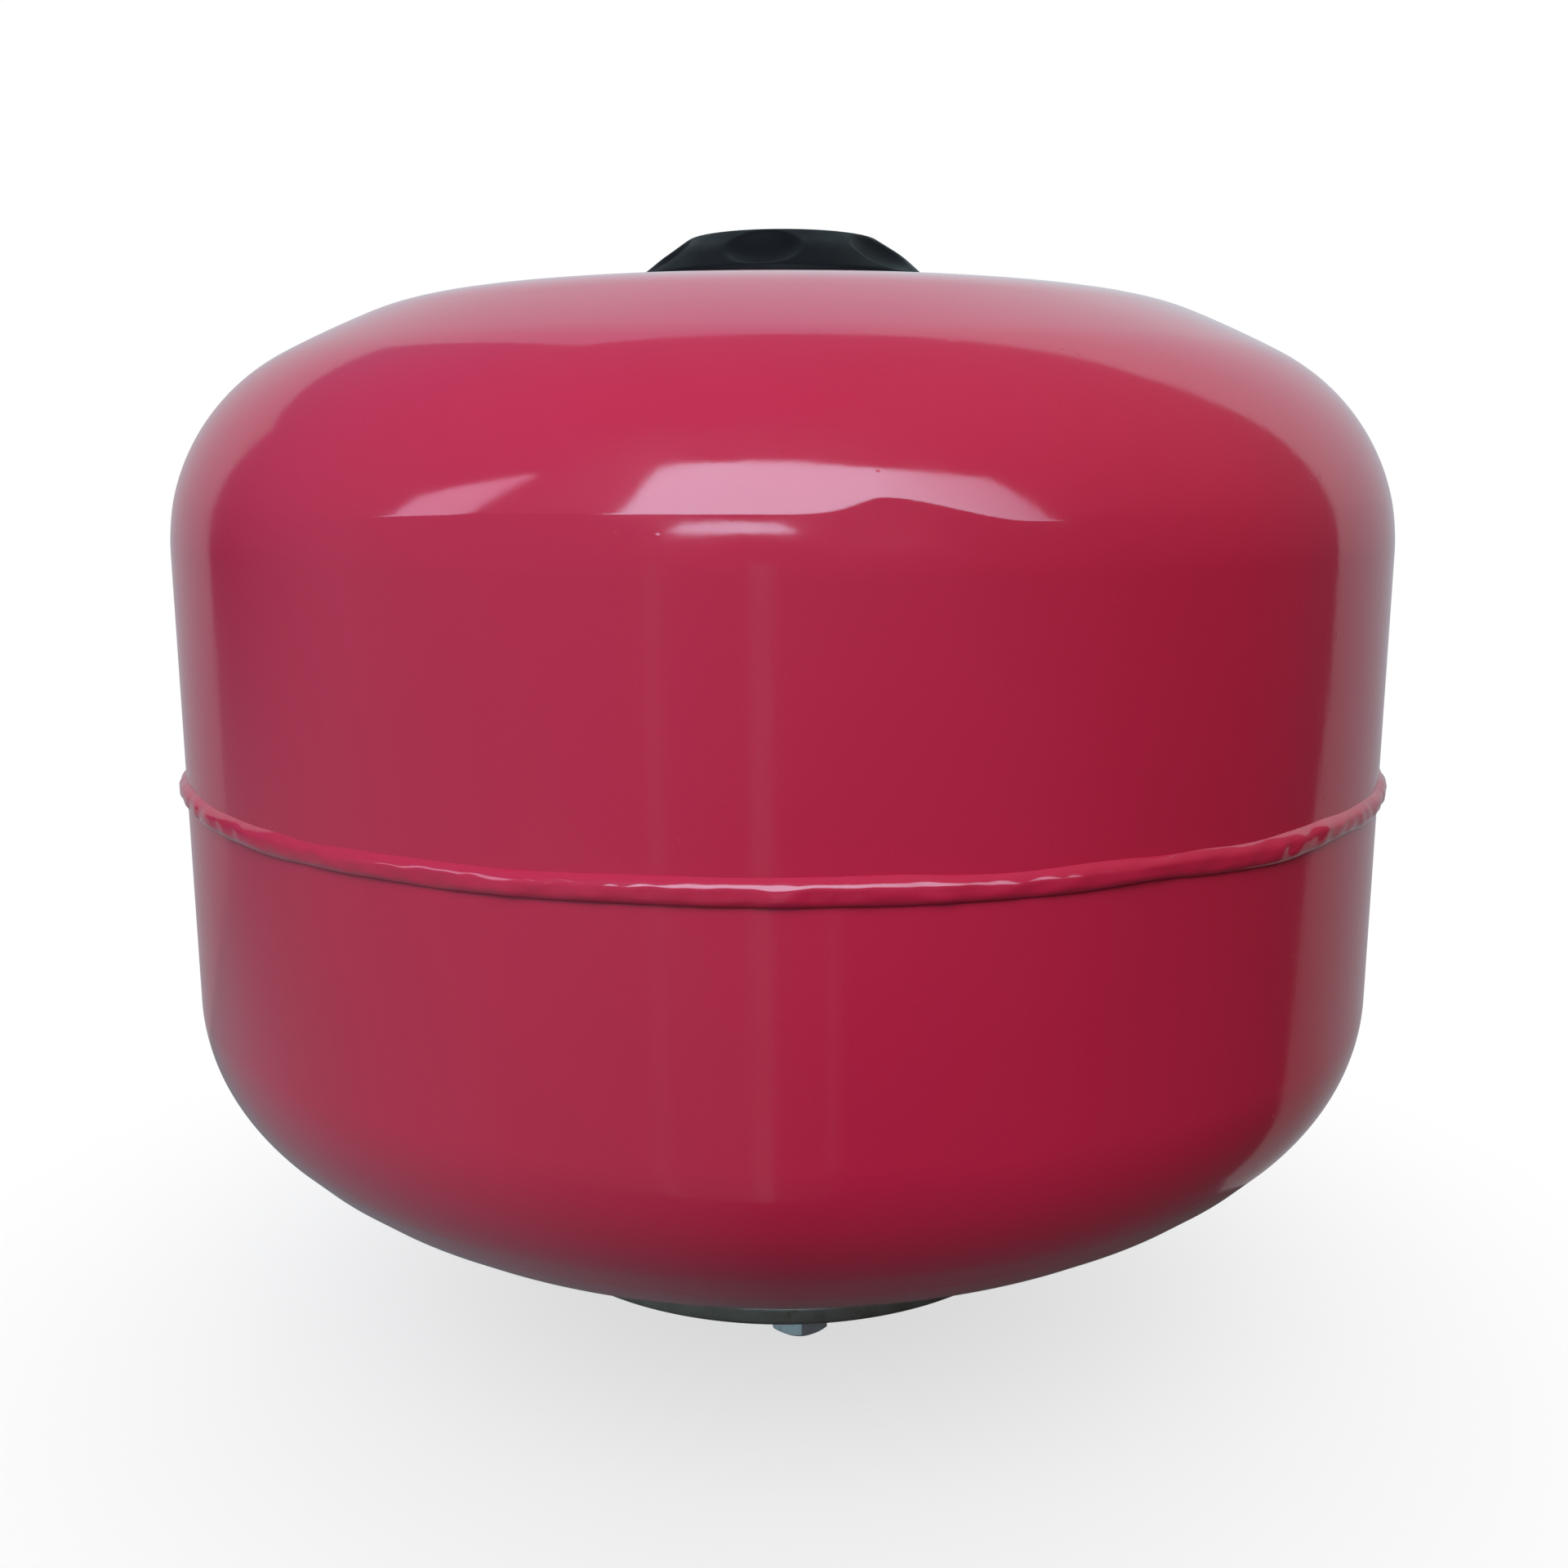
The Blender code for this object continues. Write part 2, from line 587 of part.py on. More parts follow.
def make_dust_cap(plastic, rubber, lift_axis, turn_axis):
    """Small cap on the valve stem, and the sealing disc inside it."""
    seal_top = dust_seal_bottom + DUST_SEAL_THICKNESS
    seal = [(0, dust_seal_bottom), (stem_radius, dust_seal_bottom), (stem_radius, seal_top), (0, seal_top)]
    turned("dust_cap_seal", seal, rubber, lift_axis, SMALL_STEPS, dust_seal_bottom, True)
    outline = [
        (0, dust_cap_ceiling), (dust_cap_bore, dust_cap_ceiling), (dust_cap_bore, dust_cap_bottom),
        (dust_cap_radius, dust_cap_bottom), (dust_cap_radius, dust_cap_top), (0, dust_cap_top)]
    turned("dust_cap", outline, plastic, turn_axis, SMALL_STEPS, dust_cap_bottom, True)


def cut_dimples(cap, shoulder_top, shoulder_foot):
    """Scoops the finger dimples out of the cap's shoulder."""
    middle = (shoulder_top + shoulder_foot) / 2
    slope = shoulder_foot - shoulder_top
    outward = Vector((-slope.y, slope.x)).normalized()
    centre = middle + outward * (DIMPLE_BALL_RADIUS - DIMPLE_DEPTH)
    lean = math.atan2(outward.x, outward.y)
    stretch = Matrix.Diagonal((1, DIMPLE_STRETCH, 1, 1))
    model = bmesh.new()
    for i in range(DIMPLE_COUNT):
        around = Euler((0, 0, FIRST_DIMPLE_ANGLE + 2 * math.pi * i / DIMPLE_COUNT)).to_matrix().to_4x4()
        place = Matrix.Translation((centre.x, 0, centre.y)) @ Euler((0, lean, 0)).to_matrix().to_4x4()
        bmesh.ops.create_uvsphere(
            model, u_segments=CUTTER_STEPS, v_segments=CUTTER_STEPS, radius=DIMPLE_BALL_RADIUS,
            matrix=around @ place @ stretch)
    mesh = bpy.data.meshes.new("dimple_cutters")
    model.to_mesh(mesh)
    model.free()
    cut_away(cap, add_object("dimple_cutters", mesh, None, None))


def make_screw_cap(plastic, rubber, lift_axis, turn_axis):
    """Screw cap with finger dimples, and the sealing ring inside it."""
    seal_top = cap_seal_bottom + CAP_SEAL_THICKNESS
    seal_inside = cap_pocket_radius + SEAT_GAP
    seal = [
        (seal_inside, cap_seal_bottom), (boss_radius, cap_seal_bottom), (boss_radius, seal_top),
        (seal_inside, seal_top)]
    turned("cap_seal", seal, rubber, lift_axis, RING_STEPS, cap_seal_bottom)

    shoulder_top = Vector((CAP_TOP_DIAMETER / 2, cap_top))
    shoulder_foot = Vector((cap_radius, cap_bottom + CAP_SKIRT_HEIGHT))
    slope = (shoulder_foot - shoulder_top).normalized()
    inward = Vector((slope.y, -slope.x)) * (DIMPLE_DEPTH + CAP_WALL)
    inner_line = shoulder_top + inward
    skirt_bore = cap_radius - CAP_SKIRT_WALL
    hollow_edge = inner_line.y + (skirt_bore - inner_line.x) * slope.y / slope.x
    hollow_top_radius = inner_line.x + (cap_ceiling - inner_line.y) * slope.x / slope.y
    socket_foot = boss_top - CAP_PITCH * CAP_TURNS
    outline = rounded([
        (0, cap_top, 0), (*shoulder_top, CAP_TOP_ROUND), (*shoulder_foot, CAP_SKIRT_ROUND),
        (cap_radius, cap_bottom, 0), (skirt_bore, cap_bottom, 0), (skirt_bore, hollow_edge, 0),
        (hollow_top_radius, cap_ceiling, 0), (cap_socket_radius, cap_ceiling, 0),
        (cap_socket_radius, socket_foot, 0), (cap_socket_bore, socket_foot, 0),
        (cap_socket_bore, cap_ledge, 0), (cap_pocket_radius, cap_ledge, 0),
        (cap_pocket_radius, cap_ceiling, 0), (0, cap_ceiling, 0)])
    cap = turned("screw_cap", outline, plastic, turn_axis, SHELL_STEPS, cap_bottom, True)
    cut_dimples(cap, shoulder_top, shoulder_foot)


def main():
    for old in list(bpy.data.objects):
        bpy.data.objects.remove(old)

    red_paint = finish("red_paint", (0.36, 0.025, 0.06), 0.22)
    black_plastic = finish("black_plastic", (0.012, 0.014, 0.017), 0.32)
    dull_zinc = finish("dull_zinc", (0.12, 0.12, 0.10), 0.5, 0.9)
    bright_zinc = finish("bright_zinc", (0.42, 0.47, 0.50), 0.35, 0.9)
    brass = finish("brass", (0.55, 0.38, 0.13), 0.3, 1.0)
    rubber = finish("rubber", (0.015, 0.015, 0.016), 0.7)

    vessel = add_axis("vessel", 0)
    cap_lift = add_axis("screw_cap_lift", cap_bottom)
    cap_turn = add_axis("screw_cap_turn", cap_bottom)
    dust_cap_rise = add_axis("dust_cap_lift", dust_cap_bottom)
    dust_cap_turn = add_axis("dust_cap_turn", dust_cap_bottom)
    pin_slide = add_axis("valve_pin_slide", pin_bottom)

    make_upper_shell(red_paint, vessel)
    make_lower_shell(red_paint, vessel)
    make_seam_weld(red_paint, vessel)
    make_neck(red_paint, vessel)
    make_bladder(rubber, vessel)
    make_pipe_connection(dull_zinc, vessel)
    make_bolts(bright_zinc, vessel)
    make_valve_boss(bright_zinc, vessel)
    make_valve_body(brass, rubber, vessel)
    make_valve_spring(bright_zinc, vessel)
    make_valve_pin(brass, pin_slide)
    make_dust_cap(black_plastic, rubber, dust_cap_rise, dust_cap_turn)
    make_screw_cap(black_plastic, rubber, cap_lift, cap_turn)

    print(f"overall: {SHELL_DIAMETER * 1000:.1f} mm across the shells, {cap_top * 1000:.1f} mm tall")


main()
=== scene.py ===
"""Looks of the expansion vessel: fine surfaces, finishes, studio light and the camera.

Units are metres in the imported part's frame. +Z is up, the origin is the centre of the pipe nipple's
end face, and the photographed side faces -Y.
"""
import math

import bmesh
import bpy
import numpy as np
from mathutils import Matrix, Vector, noise


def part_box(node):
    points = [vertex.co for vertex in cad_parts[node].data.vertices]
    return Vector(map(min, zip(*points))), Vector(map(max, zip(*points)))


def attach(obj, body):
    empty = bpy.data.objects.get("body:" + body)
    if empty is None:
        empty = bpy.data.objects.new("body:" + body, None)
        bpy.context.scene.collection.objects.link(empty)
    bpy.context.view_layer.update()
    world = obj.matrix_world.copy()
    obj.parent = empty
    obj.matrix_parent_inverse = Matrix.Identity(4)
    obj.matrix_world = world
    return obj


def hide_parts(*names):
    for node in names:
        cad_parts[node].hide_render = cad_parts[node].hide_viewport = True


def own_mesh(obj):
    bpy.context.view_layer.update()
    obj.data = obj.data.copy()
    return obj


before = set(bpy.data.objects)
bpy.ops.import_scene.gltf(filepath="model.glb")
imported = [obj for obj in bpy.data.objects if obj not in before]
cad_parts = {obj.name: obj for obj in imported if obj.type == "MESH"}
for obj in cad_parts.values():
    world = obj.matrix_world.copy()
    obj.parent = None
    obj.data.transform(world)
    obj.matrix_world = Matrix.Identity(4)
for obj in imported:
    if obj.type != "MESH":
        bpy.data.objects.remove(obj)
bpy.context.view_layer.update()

SEAT_GAP = 0.0003
MERGE_DISTANCE = 0.0000001
SHARP_ANGLE = math.radians(32)
ROUND_STEPS = 6

# Shells
SHELL_WALL = 0.0015
UPPER_END = {"knuckle": 0.0504, "crown": 0.2557, "land": 0.0918, "round": 0.0484}
LOWER_END = {"knuckle": 0.0414, "crown": 0.1805, "land": 0.1079, "round": 0.0777}
VALVE_HOLE_RADIUS = 0.0077
SEAM_SPLIT = 0.0001
SHELL_STEPS = 512
KNUCKLE_STEPS = 28
CROWN_STEPS = 12
LAND_ROUND_STEPS = 8

# Forming ridge of the upper shell: tilts and angles in degrees, angles from the front with right positive
FORMING_LINE = 0.2137
FORMING_SPAN = (0.010, 0.009)
FORMING_SPACING = 0.0002
NOTCH_ANGLE = 6.5
NOTCH_LEFT_WIDTH = 2.6
NOTCH_RIGHT_WIDTH = 7.0
NOTCH_RISE = 0.0030
NOTCH_TILT = 4.5
NOTCH_FOOT = 0.0010
STREAK_ANGLE = -3.2
STREAK_WIDTH = 5.2
STREAK_FLATNESS = 6
STREAK_FOOT = 0.0047
RIGHT_DIP_ANGLE = 16.5
RIGHT_DIP_WIDTH = 5.5
LEFT_DIP_ANGLE = -36
LEFT_DIP_WIDTH = 12
LEFT_DIP_SHARE = 0.8
DIP_DROP = 0.0016
STRONG_ANGLE = -6
STRONG_WIDTH = 30
STRONG_FLATNESS = 8
STRONG_TILT = 4.8
AWAY_START = 45
AWAY_FADE = 20
AWAY_WANDER = (1, 14, 21.0)
AWAY_SHIFT = 0.0012
AWAY_TILT = 0.6
PLAIN_TILT = 1.2
PLAIN_FOOT = 0.0070
RIDGE_TOP_WIDTH = 0.014
RIDGE_INNER_RADIUS = 0.12
RIDGE_INNER_FADE = 0.01

# Weld beads. A wander is its amount, its waves around the ring and its seed, here and above
BEAD_SINK = 0.0003
BEAD_CREST_PLACE = 0.52
BEAD_FOOT_POWER = 3
BEAD_TOP_POWER = 2.4
SEAM_SWELL = (0.14, 45, 1.3)
SEAM_RIPPLE = (0.10, 150, 2.7)
SEAM_WIDTH_WANDER = (0.10, 60, 4.1)
SEAM_LINE_WANDER = (0.0004, 24, 5.9)
SEAM_LUMP = 0.07
SEAM_LUMP_WAVES = 220
SEAM_LUMP_SEEDS = (7.0, 2)
FILLET_SIZE_WANDER = (0.10, 40)
FILLET_RIPPLE = (0.00012, 130)
FILLET_RIPPLE_SEED_STEP = 1.7
FILLET_BULGE = 0.16
NECK_BEAD_SEED = 11.3
NIPPLE_BEAD_SEED = 17.9
SEAM_STEPS = 1080
SMALL_BEAD_STEPS = 360
BEAD_ROWS = 20

# Flange group
FLANGE_ROUND = 0.0012
NECK_RING_ROUND = 0.0008
BOLT_DIAMETER = 0.008
BOLT_HEAD_WIDTH = 0.013
BOLT_HEAD_HEIGHT = 0.0053
BOLT_CHAMFER = 0.0008
BOLT_FACE_RADIUS = 0.0048
BOLT_CROWN_ANGLE = math.radians(34)
BOLT_PITCH = 0.00125
BOLT_THREAD_DEPTH = 0.0007
HEX_CORNER_ROUND = 0.985
EDGE_BREAK = 0.0002
HOLE_PLAY = 0.0005
HOLE_STEPS = 48
DRILL_OVERRUN = 2
WASHER_ROUND = 0.0003
BORE_RADIUS = 0.010
PIPE_PITCH = 0.001814
PIPE_THREAD_DEPTH = 0.00116
THREAD_START = 0.001
THREAD_ROWS = 10
RING_STEPS = 128
BOLT_STEPS = 72

# Bladder
BLADDER_WALL = 0.002
BLADDER_NECK_RADIUS = 0.042
BLADDER_NECK_PLAY = 0.001
BLADDER_RIM_RADIUS = 0.051
BLADDER_RIM_THICKNESS = 0.0025
BLADDER_HALF_HEIGHT = 0.070
BLADDER_STEPS = 40

# Screw cap
CAP_TOP_DIAMETER = 0.0465
CAP_SKIRT_HEIGHT = 0.0066
CAP_SKIRT_WALL = 0.0025
CAP_ROOF = 0.0024
CAP_WALL = 0.002
CAP_TOP_ROUND = 0.0014
CAP_SHOULDER_BULGE = 0.0007
CAP_SHOULDER_ROUND = 0.025
CAP_SKIRT_ROUND = 0.0015
CAP_FOOT_ROUND = 0.0004
CAP_SOCKET_WALL = 0.003
CAP_LIFT = 0.0045
CAP_POCKET_RADIUS = 0.0080
CAP_SPACING = 0.0004
CAP_STEPS = 360
DIMPLE_COUNT = 6
FIRST_DIMPLE_ANGLE = math.radians(-99)
DIMPLE_DEPTH = 0.0023
DIMPLE_BALL_RADIUS = 0.0118
DIMPLE_STRETCH = 1.33
DIMPLE_RIM = 0.0006

# Valve spring
SPRING_WIRE = 0.00036
SPRING_TURNS = 3
SPRING_STEPS = 32
WIRE_STEPS = 12

# Finishes
ENAMEL_COLOURS = ((0.405, 0.0120, 0.043), (0.435, 0.0140, 0.049))
ENAMEL_SPECK = (0.32, 0.009, 0.032)
ENAMEL_SPECK_COVER = 0.10
PLASTIC_COLOURS = ((0.0036, 0.0047, 0.0050), (0.0052, 0.0065, 0.0068))
PLASTIC_RUBBED = (0.030, 0.034, 0.038)
PLASTIC_SPECULAR = 0.05
DULL_ZINC_COLOURS = ((0.115, 0.112, 0.090), (0.165, 0.160, 0.130))
DULL_ZINC_STAIN = (0.09, 0.06, 0.035)
BRIGHT_ZINC_COLOURS = ((0.36, 0.43, 0.46), (0.50, 0.58, 0.60))
BRIGHT_ZINC_STAIN = (0.28, 0.28, 0.24)
ZINC_METALLIC = 0.9
BRASS_COLOURS = ((0.46, 0.30, 0.10), (0.62, 0.44, 0.17))
RUBBER_COLOURS = ((0.012, 0.012, 0.013), (0.026, 0.026, 0.027))
MIX_COLOUR_INPUTS = (0, 6, 7)
MIX_COLOUR_OUTPUT = 2

# Camera of the photograph
CAMERA_PLACE = (0.0003, -0.4214, 0.2207)
CAMERA_TILT = math.radians(79.14)
CAMERA_LENS = 37.42
CAMERA_SENSOR = 36.0
CAMERA_NEAR = 0.01

# Studio
FLOOR_RADIUS = 0.27
FLOOR_STEPS = 96
FLOOR_COLOURS = ((0.42, 0.41, 0.40), (0.46, 0.45, 0.44))
FLOOR_ROUGHNESS = 0.9
FLOOR_FADE_START = 0.02
FLOOR_COVER = 0.5
FLOOR_COVER_SEEN = 0.32
ROOM_RADIUS = 7.0
ROOM_LEFT = (0.40, 0.46, 0.60)
ROOM_RIGHT = (0.10, 0.06, 0.03)
ROOM_BACK = (0.09, 0.10, 0.13)
ROOM_CEILING_LEFT = (0.34, 0.38, 0.60)
ROOM_CEILING_RIGHT = (0.40, 0.38, 0.34)
ROOM_GROUND_LEFT = (0.34, 0.46, 0.50)
ROOM_GROUND_RIGHT = (0.05, 0.045, 0.045)
ROOM_SIDES = (-ROOM_RADIUS / 2, ROOM_RADIUS)
ROOM_BACK_SPAN = (-1.0, 2.6)
ROOM_GROUND_SIDES = (-0.8 * ROOM_RADIUS, 0)
ROOM_GROUND_DEPTH = -ROOM_RADIUS / 3
SHEET_Y = 0.9
WINDOW_Y = -1.5
KEY_Y = -1.4
SHEET_CORNERS = (
    (-1.70, -0.3), (-0.45, -0.3), (-0.45, 0.15), (0.45, 0.15), (0.45, -0.45), (0.9, -1.0), (1.3, -1.3),
    (3.5, -1.3), (3.0, -0.7), (2.26, -0.1), (2.26, 1.0), (2.08, 2.05), (1.65, 2.35), (0.4, 2.15), (-0.75, 2.35),
    (-0.70, 1.06), (-1.66, 1.10))
SHEET_COLOURS = [
    (-0.8, (0.30, 0.28, 0.28)),
    (0, (0.43, 0.44, 0.48)),
    (0.75, [
        (-1.0, (0.58, 0.66, 0.72)), (-0.5, (0.60, 0.70, 0.76)), (-0.25, (0.70, 0.92, 1.00)), (0, (0.75, 1.06, 1.14)),
        (0.3, (0.76, 1.06, 1.12)), (0.55, (0.72, 0.84, 0.92)), (2.0, (0.78, 0.86, 0.92))]),
    (1.15, [
        (-1.0, (0.62, 0.72, 0.82)), (-0.55, (0.64, 0.76, 0.88)), (-0.3, (0.76, 1.02, 1.16)), (0, (0.80, 1.14, 1.30)),
        (0.35, (0.80, 1.10, 1.22)), (0.55, (0.80, 0.96, 1.08)), (2.0, (0.85, 0.98, 1.06))]),
    (2.2, [
        (-1.0, (0.80, 0.95, 1.20)), (0, (0.84, 0.96, 1.36)), (0.5, (1.00, 1.22, 1.40)), (2.0, (1.10, 1.25, 1.40))])]
FRONT_WINDOW_CORNERS = ((-0.84, 0.60), (1.66, 0.60), (1.32, 1.70), (-0.55, 1.70))
FRONT_WINDOW_COLOURS = [(-0.8, (6.2, 7.8, 10.0)), (0.4, (5.6, 7.1, 9.0)), (1.6, (2.8, 3.1, 4.0))]
SIDE_WINDOW_CORNERS = ((-4.9, 1.20), (-2.25, 0.85), (-1.63, 1.88), (-3.7, 2.02))
SIDE_WINDOW_COLOURS = [(-5.0, (4.6, 3.8, 5.2)), (-1.6, (4.6, 3.8, 5.2))]
KEY_CORNERS = ((-1.30, 0.80), (0.75, 0.80), (0.75, 2.65), (-1.30, 2.65))
KEY_COLOURS = [(-1.4, (5.25, 6.6, 9.6)), (0.8, (5.6, 4.7, 3.55))]
DOORWAY_STRIPS = {
    "left": ((-0.61, -0.52), (-1.2, 0.30), (0.10, 0.16, 0.16), (0.10, 0.16, 0.16)),
    "middle": ((-0.135, -0.045), (-1.2, 0.30), (0.14, 0.26, 0.25), (0.20, 0.37, 0.36)),
    "right": ((0.195, 0.24), (-0.60, -0.22), (0.12, 0.24, 0.22), (0.12, 0.24, 0.22)),
    "low": ((-1.6, -0.04), (-1.2, -0.22), (0, 0, 0), (0.12, 0.19, 0.18)),
    "low_right": ((-0.04, 0.27), (-1.2, -0.22), (0.06, 0.10, 0.09), (0.03, 0.05, 0.05))}

# Sizes read from the frame
shell_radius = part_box("upper_shell")[1].x
upper_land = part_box("upper_shell")[1].z
lower_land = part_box("lower_shell")[0].z
seam = (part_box("seam_weld")[0].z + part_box("seam_weld")[1].z) / 2
bead_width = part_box("seam_weld")[1].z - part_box("seam_weld")[0].z
bead_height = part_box("seam_weld")[1].x - shell_radius
ring_low, ring_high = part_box("neck_ring")
flange_low, flange_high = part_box("counter_flange")
nipple_low, nipple_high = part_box("pipe_nipple")
bladder_low, bladder_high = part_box("bladder")
cap_low, cap_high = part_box("screw_cap")
boss_low, boss_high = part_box("valve_boss")
neck_bore = BLADDER_NECK_RADIUS + BLADDER_NECK_PLAY
bolt_nodes = sorted(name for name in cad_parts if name.startswith("flange_bolt_"))


def arc(centre, radius, start, end, steps):
    """Points (r, z) along an arc, from the start angle to the end angle."""
    angles = [start + (end - start) * i / steps for i in range(steps + 1)]
    return [(centre[0] + radius * math.cos(a), centre[1] + radius * math.sin(a)) for a in angles]


def rounded(corners):
    """Turns corners (r, z, rounding radius) into points, with an arc at each rounded corner."""
    points = []
    for i, (r, z, radius) in enumerate(corners):
        if radius == 0:
            points.append((r, z))
            continue
        here = Vector((r, z))
        back = (Vector(corners[i - 1][:2]) - here).normalized()
        ahead = (Vector(corners[(i + 1) % len(corners)][:2]) - here).normalized()
        half = back.angle(ahead) / 2
        centre = here + (back + ahead).normalized() * radius / math.sin(half)
        first = here + back * radius / math.tan(half) - centre
        last = here + ahead * radius / math.tan(half) - centre
        start = math.atan2(first.y, first.x)
        sweep = (math.atan2(last.y, last.x) - start + math.pi) % (2 * math.pi) - math.pi
        points += arc(centre, radius, start, start + sweep, ROUND_STEPS)
    return points


def dense(points, spacing):
    """Adds points along an outline, so that none lie further apart than the spacing."""
    out = [points[0]]
    for (r0, z0), (r1, z1) in zip(points, points[1:]):
        parts = max(1, math.ceil(math.hypot(r1 - r0, z1 - z0) / spacing))
        out += [(r0 + (r1 - r0) * i / parts, z0 + (z1 - z0) * i / parts) for i in range(1, parts + 1)]
    return out


def turned(outline, steps):
    """Rings of points for an outline of (r, z) points turned around Z."""
    angles = 2 * np.pi * np.arange(steps) / steps
    radii, heights = np.array(outline).T
    ones = np.ones(steps)
    return np.stack(
        [np.outer(radii, np.cos(angles)), np.outer(radii, np.sin(angles)), np.outer(heights, ones)], axis=-1)


def from_polar(radii, heights):
    """Rings of points from radius and height at each row and step."""
    angles = 2 * np.pi * np.arange(radii.shape[1]) / radii.shape[1]
    return np.stack([radii * np.cos(angles), radii * np.sin(angles), heights], axis=-1)


def lofted(name, rings, tubular=False):
    """Mesh that joins each ring to the next. A ring on the axis becomes one point."""
    rows, count = rings.shape[:2]
    index = np.arange(rows * count).reshape(rows, count)
    lower = index if tubular else index[:-1]
    upper = np.roll(index, -1, 0) if tubular else index[1:]
    faces = np.stack([lower, np.roll(lower, -1, 1), np.roll(upper, -1, 1), upper], axis=-1)
    mesh = bpy.data.meshes.new(name)
    mesh.from_pydata(rings.reshape(-1, 3).tolist(), [], faces.reshape(-1, 4).tolist())
    model = bmesh.new()
    model.from_mesh(mesh)
    bmesh.ops.remove_doubles(model, verts=model.verts, dist=MERGE_DISTANCE)
    bmesh.ops.recalc_face_normals(model, faces=model.faces)
    model.to_mesh(mesh)
    model.free()
    smooth(mesh)
    return mesh


def smooth(mesh):
    """Shades a mesh smooth, apart from its real edges."""
    mesh.shade_smooth()
    mesh.set_sharp_from_angle(angle=SHARP_ANGLE)


def wander(steps, amount, waves, seed):
    """Smooth noise around a ring, from about minus to plus the amount, with about that many waves."""
    reach = waves / (2 * math.pi)
    values = []
    for i in range(steps):
        angle = 2 * math.pi * i / steps
        values.append(2 * noise.noise(Vector((reach * math.cos(angle), reach * math.sin(angle), seed))))
    return amount * np.array(values)


def add_piece(name, mesh, body, material, nodes, place=(0, 0, 0)):
    """Puts a piece into the scene on its body, in the place of CAD nodes."""
    piece = bpy.data.objects.new(name, mesh)
    bpy.context.scene.collection.objects.link(piece)
    piece.location = place
    if not mesh.materials:
        mesh.materials.append(material)
    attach(piece, body)
    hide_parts(*nodes)
    return piece


def end_outline(shape, inset, fine_rises=()):
    """Outline of a dished end below its flat land, inset by part of the wall, with extra rows at some rises."""
    knuckle, crown, land_round = shape["knuckle"], shape["crown"], shape["round"]
    half = math.asin((shell_radius - knuckle) / (crown - knuckle))
    crown_centre = -(crown - knuckle) * math.cos(half)
    height = crown_centre + math.sqrt(crown**2 - shape["land"] ** 2)
    round_z = height - land_round
    round_r = math.sqrt((crown - land_round) ** 2 - (round_z - crown_centre) ** 2)
    round_start = math.atan2(round_z - crown_centre, round_r)
    knuckle_top = math.pi / 2 - half
    angles = [knuckle_top * i / KNUCKLE_STEPS for i in range(KNUCKLE_STEPS + 1)]
    if len(fine_rises):
        fine = [math.asin((rise + height) / knuckle) for rise in fine_rises]
        angles = sorted([a for a in angles if not fine[0] <= a <= fine[-1]] + fine)
    centre = shell_radius - knuckle
    points = [(centre + (knuckle - inset) * math.cos(a), (knuckle - inset) * math.sin(a)) for a in angles]
    points += arc((0, crown_centre), crown - inset, knuckle_top, round_start, CROWN_STEPS)[1:]
    points += arc((round_r, round_z), land_round - inset, round_start, math.pi / 2, LAND_ROUND_STEPS)[1:]
    return [(r, z - height) for r, z in points]


def bell(value, middle, width, flatness=2):
    """1 in the middle, falling away smoothly to both sides. A higher flatness widens the level top."""
    return np.exp(-(((value - middle) / width) ** flatness))


def formed(rings):
    """Raises the faint, uneven ridge that the press leaves where the upper shell's knuckle starts."""
    across = np.degrees(np.arctan2(rings[..., 0], -rings[..., 1]))
    notch = bell(across, NOTCH_ANGLE, np.where(across < NOTCH_ANGLE, NOTCH_LEFT_WIDTH, NOTCH_RIGHT_WIDTH))
    streak = bell(across, STREAK_ANGLE, STREAK_WIDTH, STREAK_FLATNESS)
    dip = bell(across, RIGHT_DIP_ANGLE, RIGHT_DIP_WIDTH)
    dip = dip + LEFT_DIP_SHARE * bell(across, LEFT_DIP_ANGLE, LEFT_DIP_WIDTH)
    away = np.clip((np.abs(across) - AWAY_START) / AWAY_FADE, 0, 1) * wander(rings.shape[1], *AWAY_WANDER)
    line = FORMING_LINE + NOTCH_RISE * notch - DIP_DROP * dip + AWAY_SHIFT * away
    strong = bell(across, STRONG_ANGLE, STRONG_WIDTH, STRONG_FLATNESS)
    tilt = np.radians(PLAIN_TILT + STRONG_TILT * strong + NOTCH_TILT * notch + AWAY_TILT * away)
    foot = PLAIN_FOOT + NOTCH_FOOT * notch - STREAK_FOOT * streak
    above = rings[..., 2] - line
    below = np.clip(1 + above / foot, 0, 1) ** 2
    rise = tilt * foot / 2 * np.where(above < 0, below, bell(above, 0, RIDGE_TOP_WIDTH))
    radii = np.hypot(rings[..., 0], rings[..., 1])
    rise = rise * np.clip((radii - RIDGE_INNER_RADIUS) / RIDGE_INNER_FADE, 0, 1)
    return rings * np.stack([1 + rise / radii, 1 + rise / radii, np.ones_like(radii)], axis=-1)


def shell_mesh(name, shape, land, hole, up):
    """One pressed shell, from the seam to its land, with its wall's thickness."""
    way = 1 if up else -1
    rim = seam + way * SEAM_SPLIT
    fine = []
    if up:
        low, high = FORMING_LINE - FORMING_SPAN[0] - land, FORMING_LINE + FORMING_SPAN[1] - land
        fine = np.arange(low, high, FORMING_SPACING)
    outside = [(shell_radius, rim)] + [(r, land + way * z) for r, z in end_outline(shape, 0, fine)]
    inside = [(shell_radius - SHELL_WALL, rim)]
    inside += [(r, land + way * z) for r, z in end_outline(shape, SHELL_WALL)] + [(hole, land - way * SHELL_WALL)]
    skin = turned(outside + [(hole, land)], SHELL_STEPS)
    if up:
        skin = formed(skin)
    return lofted(name, np.concatenate([skin, turned(inside[::-1], SHELL_STEPS)]), tubular=True)


